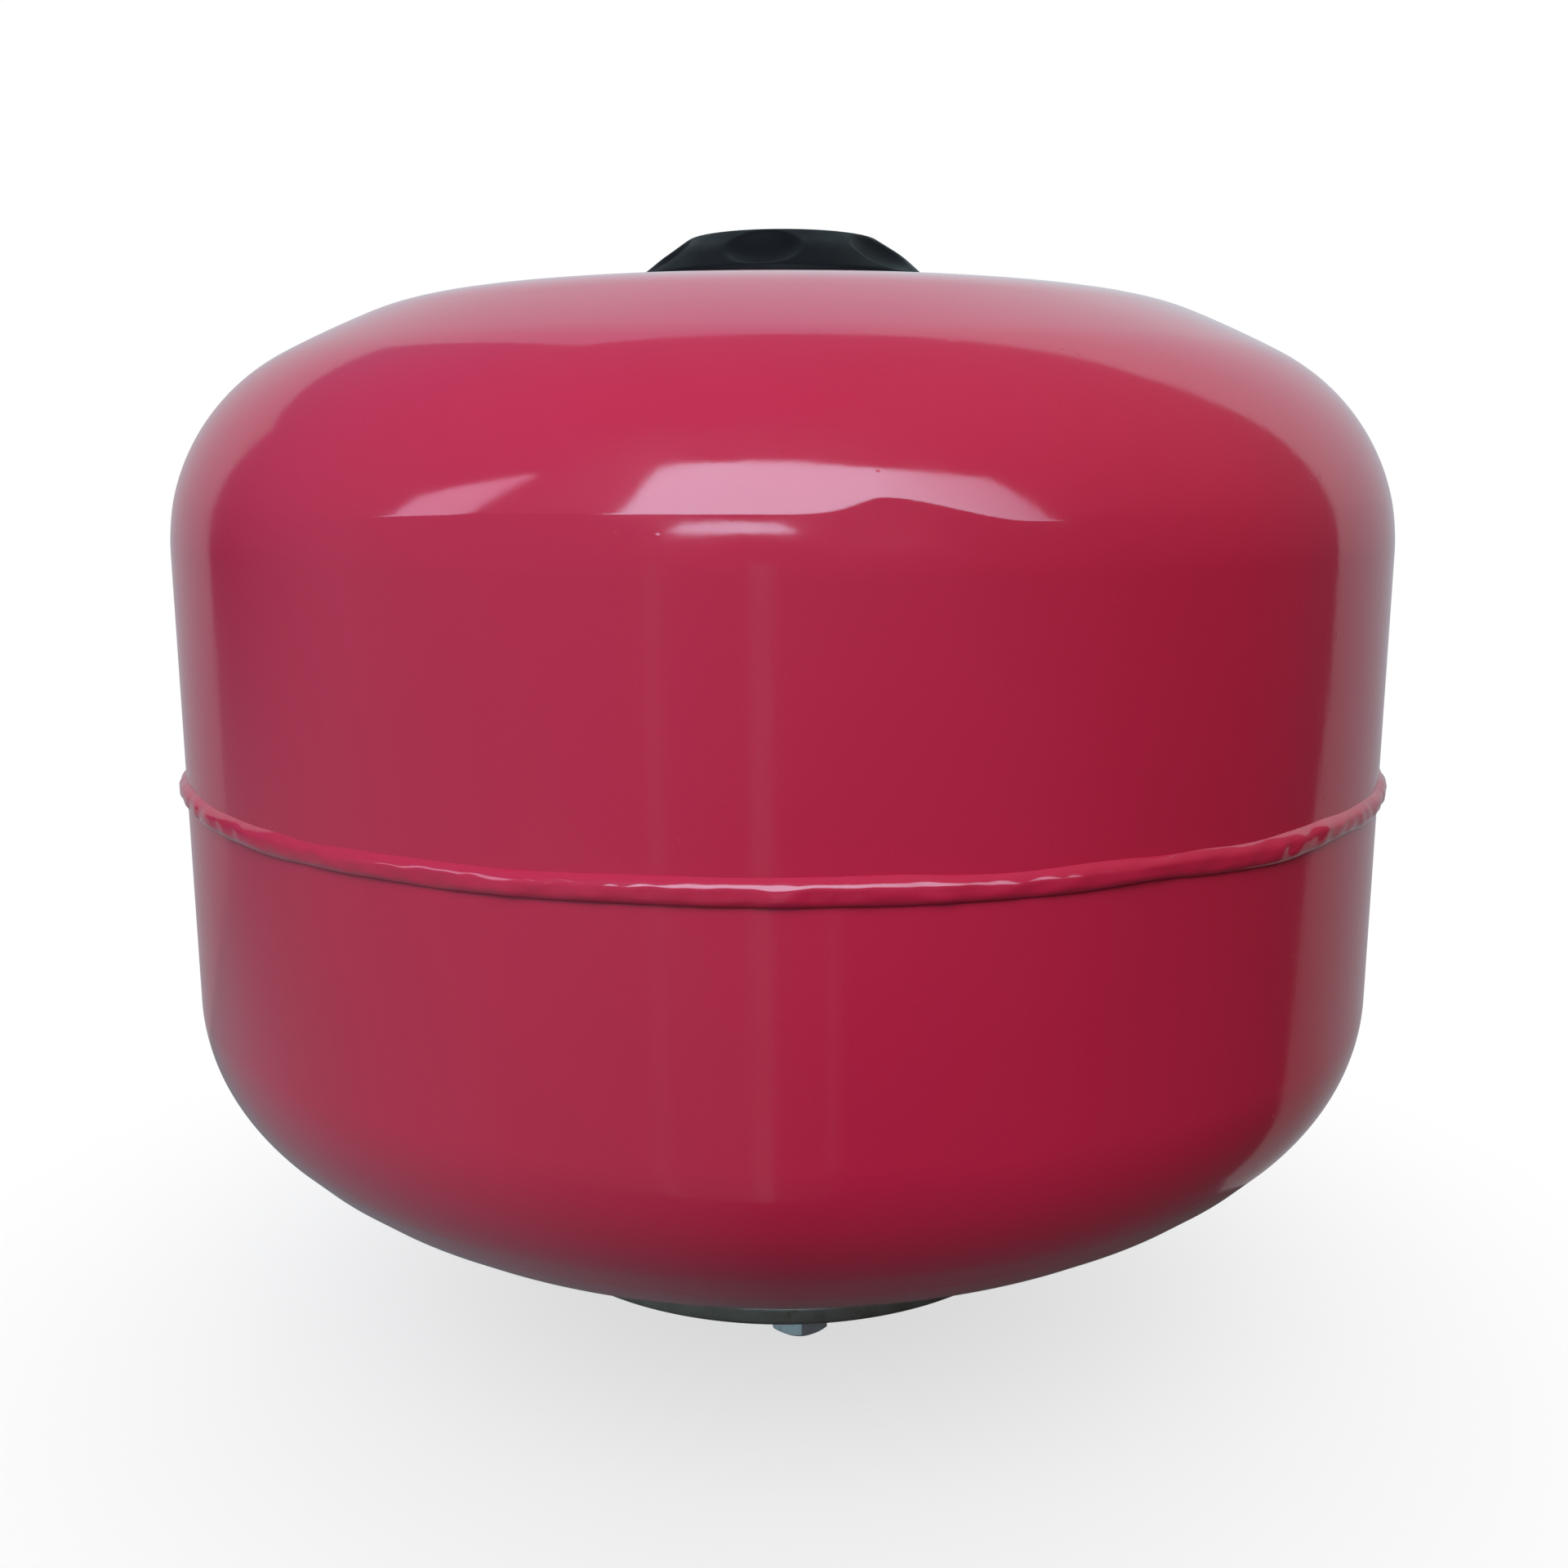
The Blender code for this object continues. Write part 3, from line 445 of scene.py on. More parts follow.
def make_shells(paint):
    """Upper and lower shell."""
    upper = shell_mesh("upper_shell_skin", UPPER_END, upper_land, VALVE_HOLE_RADIUS, True)
    add_piece("upper_shell_skin", upper, "vessel", paint, ["upper_shell"])
    lower = shell_mesh("lower_shell_skin", LOWER_END, lower_land, neck_bore, False)
    add_piece("lower_shell_skin", lower, "vessel", paint, ["lower_shell"])


def make_seam_bead(paint):
    """Hand-laid bead over the seam, steeper below than above. Its height, width and line wander."""
    crest = bead_height * (1 + wander(SEAM_STEPS, *SEAM_SWELL) + wander(SEAM_STEPS, *SEAM_RIPPLE))
    half = bead_width / 2 * (1 + wander(SEAM_STEPS, *SEAM_WIDTH_WANDER))
    middle = seam + wander(SEAM_STEPS, *SEAM_LINE_WANDER)
    first_seed, seed_span = SEAM_LUMP_SEEDS
    radii, heights = [], []
    for i in range(BEAD_ROWS + 1):
        share = i / BEAD_ROWS
        lump = 1 + wander(SEAM_STEPS, SEAM_LUMP, SEAM_LUMP_WAVES, first_seed + seed_span * share)
        if share < BEAD_CREST_PLACE:
            rise = math.sqrt(1 - (1 - share / BEAD_CREST_PLACE) ** BEAD_FOOT_POWER)
        else:
            rise = 1 - ((share - BEAD_CREST_PLACE) / (1 - BEAD_CREST_PLACE)) ** BEAD_TOP_POWER
        radii.append(shell_radius - BEAD_SINK + (crest + BEAD_SINK) * rise * lump)
        heights.append(middle + (2 * share - 1) * half)
    mesh = lofted("seam_bead", from_polar(np.array(radii), np.array(heights)), tubular=True)
    add_piece("seam_bead", mesh, "vessel", paint, ["seam_weld"])


def fillet_bead(name, inner_radius, ceiling, leg, seed):
    """Fillet weld below a ceiling, around a cylinder, with a rippled convex face."""
    steps = SMALL_BEAD_STEPS
    size = leg * (1 + wander(steps, *FILLET_SIZE_WANDER, seed))
    ripple = wander(steps, *FILLET_RIPPLE, seed + FILLET_RIPPLE_SEED_STEP)
    inside = np.full(steps, inner_radius - BEAD_SINK)
    radii, heights = [inside], [np.full(steps, ceiling + BEAD_SINK)]
    for i in range(BEAD_ROWS + 1):
        share = i / BEAD_ROWS
        bulge = (FILLET_BULGE * leg + ripple) * math.sin(math.pi * share) / math.sqrt(2)
        radii.append(inner_radius - BEAD_SINK + size * share + bulge)
        heights.append(ceiling + BEAD_SINK - size * (1 - share) - bulge)
    return lofted(name, from_polar(np.array(radii), np.array(heights)), tubular=True)


def drill(piece, radius, bottom, top):
    """Cuts the bolt holes through a piece."""
    model = bmesh.new()
    for node in bolt_nodes:
        low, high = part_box(node)
        middle = Vector(((low.x + high.x) / 2, (low.y + high.y) / 2, (bottom + top) / 2))
        bmesh.ops.create_cone(
            model, cap_ends=True, segments=HOLE_STEPS, radius1=radius, radius2=radius,
            depth=(top - bottom) * DRILL_OVERRUN, matrix=Matrix.Translation(middle))
    mesh = bpy.data.meshes.new("drills")
    model.to_mesh(mesh)
    model.free()
    drills = bpy.data.objects.new("drills", mesh)
    bpy.context.scene.collection.objects.link(drills)
    cut = piece.modifiers.new("holes", "BOOLEAN")
    cut.operation = "DIFFERENCE"
    cut.object = drills
    graph = bpy.context.evaluated_depsgraph_get()
    finished = bpy.data.meshes.new_from_object(piece.evaluated_get(graph))
    piece.modifiers.clear()
    piece.data = finished
    bpy.data.objects.remove(drills)
    smooth(finished)


def make_neck(paint):
    """Neck ring with its tapped holes, and its weld under the lower shell."""
    outline = rounded([
        (neck_bore, ring_low.z, NECK_RING_ROUND), (ring_high.x, ring_low.z, NECK_RING_ROUND),
        (ring_high.x, ring_high.z, 0), (neck_bore, ring_high.z, 0)])
    ring = add_piece(
        "neck_ring_body", lofted("neck_ring_body", turned(outline, RING_STEPS), tubular=True),
        "vessel", paint, ["neck_ring"])
    drill(ring, BOLT_DIAMETER / 2 + SEAT_GAP, ring_low.z, ring_high.z)
    weld_low, weld_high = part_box("neck_weld")
    bead = fillet_bead("neck_bead", ring_high.x, lower_land, weld_high.z - weld_low.z, NECK_BEAD_SEED)
    add_piece("neck_bead", bead, "vessel", paint, ["neck_weld"])


def thread_rings(radius, depth, pitch, bottom, top, steps):
    """Rings of a right-handed screw thread that fades out at both ends."""
    rows = math.ceil((top - bottom) / pitch * THREAD_ROWS)
    angles = 2 * np.pi * np.arange(steps) / steps
    radii, heights = [], []
    for i in range(rows + 1):
        height = bottom + (top - bottom) * i / rows
        ends = min(1.0, (height - bottom) / pitch, (top - height) / pitch)
        groove = 0.5 - 0.5 * np.cos(2 * np.pi * height / pitch - angles)
        radii.append(radius - depth * ends * groove)
        heights.append(np.full(steps, height))
    return from_polar(np.array(radii), np.array(heights))


def make_pipe_connection(dull_zinc):
    """Counter flange with its bolt holes, the threaded nipple and the weld between them."""
    hole = nipple_high.x + SEAT_GAP
    outline = rounded([
        (hole, flange_low.z, 0), (flange_high.x, flange_low.z, FLANGE_ROUND),
        (flange_high.x, flange_high.z, FLANGE_ROUND), (hole, flange_high.z, 0)])
    disc = add_piece(
        "flange_disc", lofted("flange_disc", turned(outline, SHELL_STEPS), tubular=True),
        "vessel", dull_zinc, ["counter_flange"])
    drill(disc, BOLT_DIAMETER / 2 + HOLE_PLAY, flange_low.z, flange_high.z)

    weld_low, weld_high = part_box("nipple_weld")
    leg = weld_high.z - weld_low.z
    thread_end = flange_low.z - leg - PIPE_PITCH / 2
    foot = turned(
        [(BORE_RADIUS, 0), (nipple_high.x - PIPE_THREAD_DEPTH, 0), (nipple_high.x, THREAD_START)], RING_STEPS)
    thread = thread_rings(
        nipple_high.x, PIPE_THREAD_DEPTH, PIPE_PITCH, THREAD_START + EDGE_BREAK, thread_end, RING_STEPS)
    head = turned([(nipple_high.x, nipple_high.z), (BORE_RADIUS, nipple_high.z)], RING_STEPS)
    nipple = lofted("threaded_nipple", np.concatenate([foot, thread, head]), tubular=True)
    add_piece("threaded_nipple", nipple, "vessel", dull_zinc, ["pipe_nipple"])
    bead = fillet_bead("nipple_bead", nipple_high.x, flange_low.z, leg, NIPPLE_BEAD_SEED)
    add_piece("nipple_bead", bead, "vessel", dull_zinc, ["nipple_weld"])


def hex_ring(width, height, chamfer_from=None):
    """Ring around a hexagon with softened corners, raised where a chamfer from the face cuts it."""
    angles = 2 * np.pi * np.arange(BOLT_STEPS) / BOLT_STEPS
    off_flat = (angles + np.pi / 6) % (np.pi / 3) - np.pi / 6
    corner = width / 2 / math.cos(math.pi / 6)
    radii = np.minimum(width / 2 / np.cos(off_flat), corner * HEX_CORNER_ROUND)
    heights = np.full(BOLT_STEPS, height)
    if chamfer_from:
        heights = heights + (radii - chamfer_from) * math.tan(BOLT_CROWN_ANGLE)
    return from_polar(radii[None], heights[None])


def bolt_mesh(length):
    """Hexagon bolt, head down, from the centre of its head's face."""
    radius = BOLT_DIAMETER / 2
    face = turned([(0, 0), (BOLT_FACE_RADIUS, 0)], BOLT_STEPS)
    under_head = turned([(radius, BOLT_HEAD_HEIGHT), (radius, BOLT_HEAD_HEIGHT + BOLT_PITCH)], BOLT_STEPS)
    thread = thread_rings(
        radius, BOLT_THREAD_DEPTH, BOLT_PITCH, BOLT_HEAD_HEIGHT + 2 * BOLT_PITCH, length - BOLT_CHAMFER, BOLT_STEPS)
    tip = turned([(radius - BOLT_CHAMFER, length), (0, length)], BOLT_STEPS)
    rings = [
        face, hex_ring(BOLT_HEAD_WIDTH, 0, BOLT_FACE_RADIUS),
        hex_ring(BOLT_HEAD_WIDTH, BOLT_HEAD_HEIGHT - EDGE_BREAK),
        hex_ring(BOLT_HEAD_WIDTH - 2 * EDGE_BREAK, BOLT_HEAD_HEIGHT), under_head, thread, tip]
    return lofted("hex_bolt", np.concatenate(rings))


def make_bolts(bright_zinc):
    """Flange bolts, each with its washer."""
    low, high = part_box(bolt_nodes[0])
    bolt = bolt_mesh(high.z - low.z)
    for i, node in enumerate(bolt_nodes, start=1):
        low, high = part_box(node)
        x, y = (low.x + high.x) / 2, (low.y + high.y) / 2
        piece = add_piece(
            f"hex_bolt_{i}", bolt, "vessel", bright_zinc, [node], (x, y, low.z))
        piece.rotation_euler.z = math.atan2(y, x) + math.pi / 6
        washer_low, washer_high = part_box(f"flange_washer_{i}")
        outer = (washer_high.x - washer_low.x) / 2
        inner = BOLT_DIAMETER / 2 + HOLE_PLAY
        thickness = washer_high.z - washer_low.z
        outline = rounded([
            (inner, 0, 0), (outer, 0, WASHER_ROUND), (outer, thickness, WASHER_ROUND), (inner, thickness, 0)])
        washer = lofted(f"plain_washer_{i}", turned(outline, BOLT_STEPS), tubular=True)
        add_piece(
            f"plain_washer_{i}", washer, "vessel", bright_zinc, [f"flange_washer_{i}"],
            (x, y, washer_low.z))


def make_bladder(rubber):
    """Rubber bladder, half swollen, with the rim that the flange clamps."""
    wide = bladder_high.x
    middle = bladder_high.z - BLADDER_HALF_HEIGHT

    def side(inset, foot):
        start = -math.acos((BLADDER_NECK_RADIUS - inset) / (wide - inset))
        points = [(BLADDER_NECK_RADIUS - inset, foot)]
        for i in range(BLADDER_STEPS + 1):
            angle = start + (math.pi / 2 - start) * i / BLADDER_STEPS
            height = middle + (BLADDER_HALF_HEIGHT - inset) * math.sin(angle)
            points.append(((wide - inset) * math.cos(angle), height))
        points[-1] = (0, points[-1][1])
        return points

    rim_top = bladder_low.z + BLADDER_RIM_THICKNESS
    rim = [(BLADDER_RIM_RADIUS, bladder_low.z), (BLADDER_RIM_RADIUS, rim_top)]
    outline = side(BLADDER_WALL, bladder_low.z)[::-1] + rim + side(0, rim_top)
    bag = lofted("bladder_bag", turned(outline, RING_STEPS))
    add_piece("bladder_bag", bag, "vessel", rubber, ["bladder"])


def scooped(rings, shoulder_top, shoulder_foot):
    """Presses the finger dimples into the cap's shoulder, with soft rims."""
    middle = (shoulder_top + shoulder_foot) / 2
    slope = (shoulder_foot - shoulder_top).normalized()
    floor_centre = DIMPLE_BALL_RADIUS - DIMPLE_DEPTH
    points = rings.copy()
    for i in range(DIMPLE_COUNT):
        angle = FIRST_DIMPLE_ANGLE + 2 * math.pi * i / DIMPLE_COUNT
        radial = np.array([math.cos(angle), math.sin(angle), 0])
        around = np.array([-math.sin(angle), math.cos(angle), 0])
        down = radial * slope.x + np.array([0, 0, slope.y])
        out = -radial * slope.y + np.array([0, 0, slope.x])
        offset = points - (radial * middle.x + np.array([0, 0, middle.y]))
        height = offset @ out
        room = 1 - (offset @ down / DIMPLE_BALL_RADIUS) ** 2
        room -= (offset @ around / (DIMPLE_BALL_RADIUS * DIMPLE_STRETCH)) ** 2
        floor = floor_centre - DIMPLE_BALL_RADIUS * np.sqrt(np.clip(room, 0, 1))
        mix = np.clip(0.5 + 0.5 * (floor - height) / DIMPLE_RIM, 0, 1)
        pressed = floor + (height - floor) * mix - DIMPLE_RIM * mix * (1 - mix)
        points += ((pressed - height) * (room > 0))[..., None] * out
    return points


def make_cap(plastic):
    """Screw cap with finger dimples, hollow underneath, with the socket that screws onto the boss."""
    radius = cap_high.x
    shoulder_top = Vector((CAP_TOP_DIAMETER / 2, cap_high.z))
    shoulder_foot = Vector((radius, cap_low.z + CAP_SKIRT_HEIGHT))
    slope = (shoulder_foot - shoulder_top).normalized()
    shoulder_middle = (shoulder_top + shoulder_foot) / 2 - Vector((slope.y, -slope.x)) * CAP_SHOULDER_BULGE
    inner_line = shoulder_top + Vector((slope.y, -slope.x)) * (DIMPLE_DEPTH + CAP_WALL)
    skirt_bore = radius - CAP_SKIRT_WALL
    ceiling = cap_high.z - CAP_ROOF
    hollow_edge = inner_line.y + (skirt_bore - inner_line.x) * slope.y / slope.x
    hollow_top_radius = inner_line.x + (ceiling - inner_line.y) * slope.x / slope.y
    outside = rounded([
        (0, cap_high.z, 0), (*shoulder_top, CAP_TOP_ROUND), (*shoulder_middle, CAP_SHOULDER_ROUND),
        (*shoulder_foot, CAP_SKIRT_ROUND),
        (radius, cap_low.z, CAP_FOOT_ROUND), (skirt_bore, cap_low.z, 0)])
    socket_bore = boss_high.x + SEAT_GAP
    socket_radius = socket_bore + CAP_SOCKET_WALL
    socket_foot = boss_high.z - CAP_LIFT
    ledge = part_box("cap_seal")[1].z + SEAT_GAP
    inside = [
        (skirt_bore, hollow_edge), (hollow_top_radius, ceiling), (socket_radius, ceiling),
        (socket_radius, socket_foot), (socket_bore, socket_foot), (socket_bore, ledge),
        (CAP_POCKET_RADIUS, ledge), (CAP_POCKET_RADIUS, ceiling), (0, ceiling)]
    skin = scooped(turned(dense(outside, CAP_SPACING), CAP_STEPS), shoulder_top, shoulder_foot)
    cap = lofted("dimpled_cap", np.concatenate([skin, turned(inside, CAP_STEPS)]))
    add_piece("dimpled_cap", cap, "cap", plastic, ["screw_cap"])


def make_spring(bright_zinc):
    """Valve spring of round wire, on a mesh of its own. It is built at rest; the real spring shortens as the pin is
    pressed.
    """
    low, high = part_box("valve_spring")
    half = SPRING_WIRE / 2
    radius = high.x - half
    turns = np.arange(SPRING_TURNS * SPRING_STEPS + 1) / SPRING_STEPS
    angles = 2 * np.pi * turns[:, None]
    heights = low.z + half + (high.z - low.z - SPRING_WIRE) * turns[:, None] / SPRING_TURNS
    around = 2 * np.pi * np.arange(WIRE_STEPS) / WIRE_STEPS
    out = radius + half * np.cos(around)
    rings = np.stack(
        [out * np.cos(angles), out * np.sin(angles), heights + half * np.sin(around)], axis=-1)
    ends = rings[[0, -1]].mean(axis=1, keepdims=True).repeat(WIRE_STEPS, axis=1)
    mesh = lofted("coil_spring", np.concatenate([ends[:1], rings, ends[1:]]))
    spring = add_piece("coil_spring", mesh, "vessel", bright_zinc, ["valve_spring"])
    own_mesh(spring)


def shader_of(name):
    """A new material's node tree and its Principled shader."""
    material = bpy.data.materials.new(name)
    material.use_nodes = True
    return material, material.node_tree, material.node_tree.nodes["Principled BSDF"]


def add_node(tree, kind, settings=None, **inputs):
    """Adds a shader node. A value for an input is a constant, or the output that it links to."""
    node = tree.nodes.new(kind)
    for name, value in (settings or {}).items():
        setattr(node, name, value)
    for name, value in inputs.items():
        socket = node.inputs[name.replace("_", " ")]
        if isinstance(value, bpy.types.NodeSocket):
            tree.links.new(value, socket)
        else:
            socket.default_value = value
    return node


def object_place(tree):
    """The point on the piece, in metres."""
    return add_node(tree, "ShaderNodeTexCoord").outputs["Object"]


def noise_at(tree, scale, detail=2.0, roughness=0.5, stretch=None):
    """Noise with that many waves to a metre, from 0 to 1."""
    place = object_place(tree)
    if stretch:
        place = add_node(tree, "ShaderNodeMapping", Vector=place, Scale=stretch).outputs["Vector"]
    made = add_node(tree, "ShaderNodeTexNoise", Vector=place, Scale=scale, Detail=detail, Roughness=roughness)
    return made.outputs["Fac"]


def spread(tree, value, low, high, start=0.3, end=0.7):
    """Maps a value between start and end to low and high."""
    made = add_node(
        tree, "ShaderNodeMapRange", Value=value, From_Min=start, From_Max=end, To_Min=low, To_Max=high)
    return made.outputs["Result"]


def blended(tree, factor, first, second):
    """Colour between two colours or sockets."""
    made = tree.nodes.new("ShaderNodeMix")
    made.data_type = "RGBA"
    for place, value in zip(MIX_COLOUR_INPUTS, (factor, first, second)):
        socket = made.inputs[place]
        if isinstance(value, bpy.types.NodeSocket):
            tree.links.new(value, socket)
        else:
            socket.default_value = (*value, 1) if hasattr(value, "__len__") else value
    return made.outputs[MIX_COLOUR_OUTPUT]


def bumped(tree, height, distance, below=None):
    """Normal of a bumpy surface. The distance is the height of the bumps, in metres."""
    made = add_node(tree, "ShaderNodeBump", Height=height, Distance=distance, Strength=1.0)
    if below:
        tree.links.new(below, made.inputs["Normal"])
    return made.outputs["Normal"]


def worn_edges(tree, start, end):
    """From 0 on flat stretches to 1 on outer edges."""
    point = add_node(tree, "ShaderNodeNewGeometry").outputs["Pointiness"]
    return spread(tree, point, 0.0, 1.0, start, end)


def roughen(tree, shader, scale, detail, least, most):
    """Roughness that varies over the surface."""
    uneven = spread(tree, noise_at(tree, scale, detail), least, most)
    tree.links.new(uneven, shader.inputs["Roughness"])


def red_enamel():
    """Glossy crimson stoving enamel, with orange peel, a slow waviness and small nibs of dust."""
    material, tree, shader = shader_of("red_enamel")
    cloud = spread(tree, noise_at(tree, scale=11, detail=3), low=0, high=1)
    fine = spread(tree, noise_at(tree, scale=1300, detail=2), low=0, high=1)
    speck = spread(tree, fine, low=0, high=ENAMEL_SPECK_COVER, start=0, end=1)
    colour = blended(tree, speck, blended(tree, cloud, *ENAMEL_COLOURS), ENAMEL_SPECK)
    tree.links.new(colour, shader.inputs["Base Color"])
    roughen(tree, shader, scale=70, detail=4, least=0.08, most=0.13)
    wave = bumped(tree, noise_at(tree, scale=13, detail=1), distance=0.00025)
    peel = bumped(tree, noise_at(tree, scale=420, detail=2), distance=0.000010, below=wave)
    cells = add_node(tree, "ShaderNodeTexVoronoi", Vector=object_place(tree), Scale=170.0)
    dots = spread(tree, cells.outputs["Distance"], low=1, high=0, start=0.03, end=0.09)
    nibs = bumped(tree, dots, distance=0.000016, below=peel)
    tree.links.new(nibs, shader.inputs["Normal"])
    return material


def black_plastic():
    """Black moulded plastic with a fine grain and edges rubbed a little paler."""
    material, tree, shader = shader_of("black_moulded_plastic")
    cloud = spread(tree, noise_at(tree, scale=60, detail=3), low=0, high=1)
    rubbed = worn_edges(tree, start=0.52, end=0.60)
    scratch = spread(
        tree, noise_at(tree, scale=900, detail=3, roughness=0.7), low=0, high=1, start=0.45, end=0.65)
    worn = add_node(tree, "ShaderNodeMath", {"operation": "MULTIPLY"})
    tree.links.new(rubbed, worn.inputs[0])
    tree.links.new(scratch, worn.inputs[1])
    colour = blended(tree, worn.outputs[0], blended(tree, cloud, *PLASTIC_COLOURS), PLASTIC_RUBBED)
    tree.links.new(colour, shader.inputs["Base Color"])
    roughen(tree, shader, scale=240, detail=4, least=0.46, most=0.58)
    shader.inputs["Specular IOR Level"].default_value = PLASTIC_SPECULAR
    grain = bumped(tree, noise_at(tree, scale=2600, detail=2), distance=0.000012)
    tree.links.new(grain, shader.inputs["Normal"])
    return material


def zinc(name, colours, stain, least, most, tooth):
    """Zinc plating with cloudy patches, a few stains, its least and most roughness, and a fine tooth."""
    material, tree, shader = shader_of(name)
    patch = spread(tree, noise_at(tree, scale=140, detail=4, roughness=0.6), low=0, high=1)
    spot = spread(
        tree, noise_at(tree, scale=420, detail=5, roughness=0.65), low=0, high=0.7, start=0.60, end=0.74)
    colour = blended(tree, spot, blended(tree, patch, *colours), stain)
    tree.links.new(colour, shader.inputs["Base Color"])
    shader.inputs["Metallic"].default_value = ZINC_METALLIC
    roughen(tree, shader, 320, 4, least, most)
    grain = bumped(tree, noise_at(tree, scale=1500, detail=3), tooth)
    tree.links.new(grain, shader.inputs["Normal"])
    return material


def brass():
    """Machined brass with a faint tarnish and turning marks."""
    material, tree, shader = shader_of("machined_brass")
    tarnish = spread(tree, noise_at(tree, scale=500, detail=4), low=0, high=1)
    tree.links.new(blended(tree, tarnish, *BRASS_COLOURS), shader.inputs["Base Color"])
    shader.inputs["Metallic"].default_value = 1.0
    roughen(tree, shader, scale=900, detail=3, least=0.20, most=0.36)
    marks = bumped(tree, noise_at(tree, scale=300, detail=2, stretch=(1, 1, 30)), distance=0.000006)
    tree.links.new(marks, shader.inputs["Normal"])
    return material


def rubber():
    """Black rubber with a grey bloom."""
    material, tree, shader = shader_of("black_rubber")
    bloom = spread(tree, noise_at(tree, scale=45, detail=5, roughness=0.6), low=0, high=1)
    tree.links.new(blended(tree, bloom, *RUBBER_COLOURS), shader.inputs["Base Color"])
    roughen(tree, shader, scale=180, detail=3, least=0.58, most=0.78)
    grain = bumped(tree, noise_at(tree, scale=1400, detail=3), distance=0.00002)
    tree.links.new(grain, shader.inputs["Normal"])
    return material


def dress_hidden_nodes(finishes):
    """Finishes of the CAD nodes that stay as they are, under the cap."""
    for node, finish in finishes.items():
        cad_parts[node].material_slots[0].material = finish


def graded(tree, axis, stops):
    """Colour that changes along an axis, between stops of (metres, colour).

    A list of stops along X can stand for a colour.
    """
    along = add_node(tree, "ShaderNodeSeparateXYZ", Vector=object_place(tree)).outputs[axis]
    colours = [graded(tree, "X", colour) if isinstance(colour, list) else colour for _, colour in stops]
    mixed = colours[0]
    for (start, _), (end, _), following in zip(stops, stops[1:], colours[1:]):
        mixed = blended(tree, spread(tree, along, 0, 1, start, end), mixed, following)
    return mixed


def glow(name, axis, stops, clear=False):
    """Light-giving material with a graded colour. A clear one adds its light to what is behind it."""
    material = bpy.data.materials.new(name)
    material.use_nodes = True
    tree = material.node_tree
    tree.nodes.clear()
    light = add_node(tree, "ShaderNodeEmission", Color=graded(tree, axis, stops), Strength=1.0)
    if clear:
        both = add_node(tree, "ShaderNodeAddShader")
        tree.links.new(light.outputs[0], both.inputs[0])
        tree.links.new(add_node(tree, "ShaderNodeBsdfTransparent").outputs[0], both.inputs[1])
        light = both
    out = add_node(tree, "ShaderNodeOutputMaterial")
    tree.links.new(light.outputs[0], out.inputs["Surface"])
    return material


def add_stage(name, mesh, material, seen=True):
    """Adds a part of the studio, which isn't part of the object."""
    mesh.materials.append(material)
    piece = bpy.data.objects.new(name, mesh)
    bpy.context.scene.collection.objects.link(piece)
    piece.visible_camera = seen
    return piece


def make_floor():
    """Pale floor that the nipple's end stands on, which runs out softly into the white surround."""
    material, tree, shader = shader_of("pale_floor")
    tint = spread(tree, noise_at(tree, scale=6, detail=3), low=0, high=1)
    tree.links.new(blended(tree, tint, *FLOOR_COLOURS), shader.inputs["Base Color"])
    shader.inputs["Roughness"].default_value = FLOOR_ROUGHNESS
    reach = add_node(tree, "ShaderNodeVectorMath", {"operation": "LENGTH"})
    tree.links.new(object_place(tree), reach.inputs[0])
    path = add_node(tree, "ShaderNodeLightPath")
    shown = FLOOR_COVER
    for ray in ("Is Camera Ray", "Is Glossy Ray", "Is Transmission Ray"):
        shown = spread(tree, path.outputs[ray], shown, FLOOR_COVER_SEEN, 0, 1)
    solid = add_node(
        tree, "ShaderNodeMapRange", {"interpolation_type": "SMOOTHSTEP"}, Value=reach.outputs["Value"],
        From_Min=FLOOR_FADE_START, From_Max=FLOOR_RADIUS, To_Min=shown, To_Max=0.0)
    tree.links.new(solid.outputs["Result"], shader.inputs["Alpha"])
    model = bmesh.new()
    bmesh.ops.create_circle(model, cap_ends=True, segments=FLOOR_STEPS, radius=FLOOR_RADIUS)
    mesh = bpy.data.meshes.new("floor")
    model.to_mesh(mesh)
    model.free()
    add_stage("floor", mesh, material)


def make_room():
    """Dim room around the object, cooler on the left, which the camera doesn't see."""
    model = bmesh.new()
    bmesh.ops.create_icosphere(model, subdivisions=4, radius=ROOM_RADIUS)
    mesh = bpy.data.meshes.new("room")
    model.to_mesh(mesh)
    model.free()
    material = bpy.data.materials.new("room_glow")
    material.use_nodes = True
    tree = material.node_tree
    tree.nodes.clear()
    place = add_node(tree, "ShaderNodeSeparateXYZ", Vector=object_place(tree))
    across = spread(tree, place.outputs["X"], 0, 1, *ROOM_SIDES)
    behind = spread(tree, place.outputs["Y"], 0, 1, *ROOM_BACK_SPAN)
    walls = blended(tree, behind, blended(tree, across, ROOM_LEFT, ROOM_RIGHT), ROOM_BACK)
    above = spread(tree, place.outputs["Z"], 0, 1, 0, ROOM_RADIUS)
    colour = blended(tree, above, walls, blended(tree, across, ROOM_CEILING_LEFT, ROOM_CEILING_RIGHT))
    below = spread(tree, place.outputs["Z"], 0, 1, 0, ROOM_GROUND_DEPTH)
    across_ground = spread(tree, place.outputs["X"], 0, 1, *ROOM_GROUND_SIDES)
    ground = blended(tree, across_ground, ROOM_GROUND_LEFT, ROOM_GROUND_RIGHT)
    colour = blended(tree, below, colour, ground)
    light = add_node(tree, "ShaderNodeEmission", Color=colour, Strength=1.0)
    out = add_node(tree, "ShaderNodeOutputMaterial")
    tree.links.new(light.outputs[0], out.inputs["Surface"])
    material.cycles.emission_sampling = "NONE"
    add_stage("room", mesh, material, seen=False)


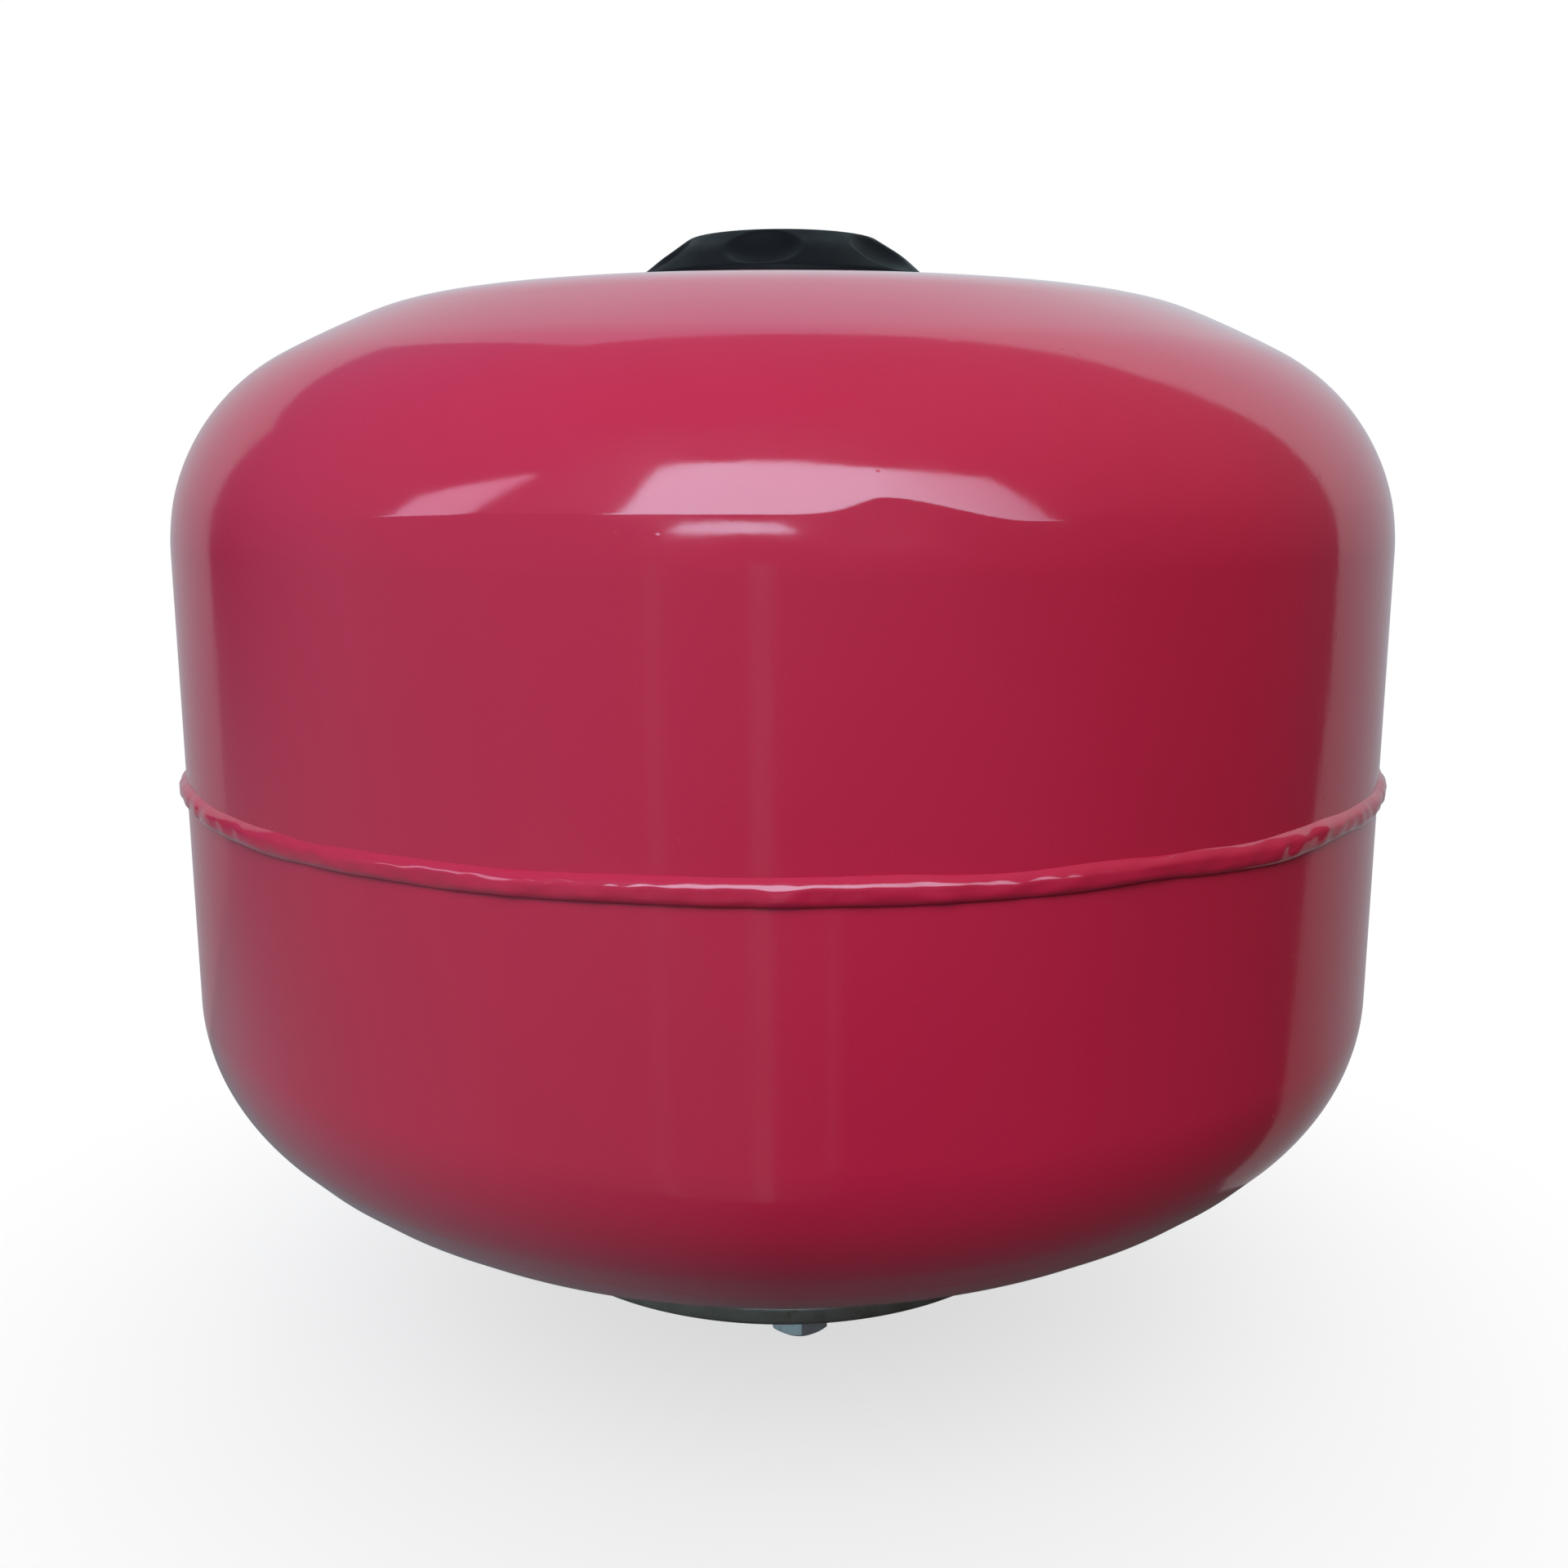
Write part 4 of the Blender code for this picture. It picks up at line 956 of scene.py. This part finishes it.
def add_panel(name, y, corners, material):
    """Flat lit panel with corners (x, z), in front of or behind the object, which the camera doesn't see."""
    mesh = bpy.data.meshes.new(name)
    mesh.from_pydata([(x, y, z) for x, z in corners], [], [range(len(corners))])
    panel = add_stage(name, mesh, material, seen=False)
    panel.visible_shadow = False
    return panel


def make_studio():
    """Floor, room, a lit sheet behind, windows, soft key and faint strips in front, and a white world."""
    make_floor()
    make_room()
    add_panel("white_sheet", SHEET_Y, SHEET_CORNERS, glow("sheet_glow", "Z", SHEET_COLOURS))
    window = glow("window_glow", "X", FRONT_WINDOW_COLOURS)
    add_panel("front_window", WINDOW_Y, FRONT_WINDOW_CORNERS, window).visible_diffuse = False
    side = glow("side_window_glow", "X", SIDE_WINDOW_COLOURS)
    add_panel("side_window", WINDOW_Y, SIDE_WINDOW_CORNERS, side).visible_diffuse = False
    key = glow("key_glow", "X", KEY_COLOURS)
    add_panel("soft_key", KEY_Y, KEY_CORNERS, key).visible_glossy = False
    for name, ((left, right), (bottom, top), first, last) in DOORWAY_STRIPS.items():
        faint = glow(f"doorway_glow_{name}", "X", [(left, first), (right, last)], clear=True)
        corners = ((left, bottom), (right, bottom), (right, top), (left, top))
        add_panel(f"doorway_{name}", WINDOW_Y, corners, faint).visible_diffuse = False
    world = bpy.data.worlds.new("white_surround")
    world.use_nodes = True
    surround = world.node_tree.nodes["Background"]
    surround.inputs["Color"].default_value = (1, 1, 1, 1)
    surround.inputs["Strength"].default_value = 1.0
    bpy.context.scene.world = world


def make_camera():
    """Camera at the photograph's place and angle."""
    camera = bpy.data.cameras.new("photo_camera")
    camera.lens = CAMERA_LENS
    camera.sensor_width = CAMERA_SENSOR
    camera.clip_start = CAMERA_NEAR
    view = bpy.data.objects.new("photo_camera", camera)
    bpy.context.scene.collection.objects.link(view)
    view.location = CAMERA_PLACE
    view.rotation_euler = (CAMERA_TILT, 0, 0)
    bpy.context.scene.camera = view


def main():
    paint = red_enamel()
    plastic = black_plastic()
    dull = zinc("dull_zinc_plate", DULL_ZINC_COLOURS, DULL_ZINC_STAIN, least=0.42, most=0.60, tooth=0.00002)
    bright = zinc(
        "bright_zinc_plate", BRIGHT_ZINC_COLOURS, BRIGHT_ZINC_STAIN, least=0.16, most=0.28, tooth=0.000004)
    yellow_metal = brass()
    black_rubber = rubber()
    make_shells(paint)
    make_seam_bead(paint)
    make_neck(paint)
    make_bladder(black_rubber)
    make_pipe_connection(dull)
    make_bolts(bright)
    make_cap(plastic)
    make_spring(bright)
    dress_hidden_nodes({
        "valve_boss": bright, "valve_stem": yellow_metal, "valve_core": yellow_metal, "valve_pin": yellow_metal,
        "valve_gasket": black_rubber, "dust_cap_seal": black_rubber, "cap_seal": black_rubber, "dust_cap": plastic})
    make_studio()
    make_camera()
    bpy.context.scene.view_settings.view_transform = "Standard"


main()
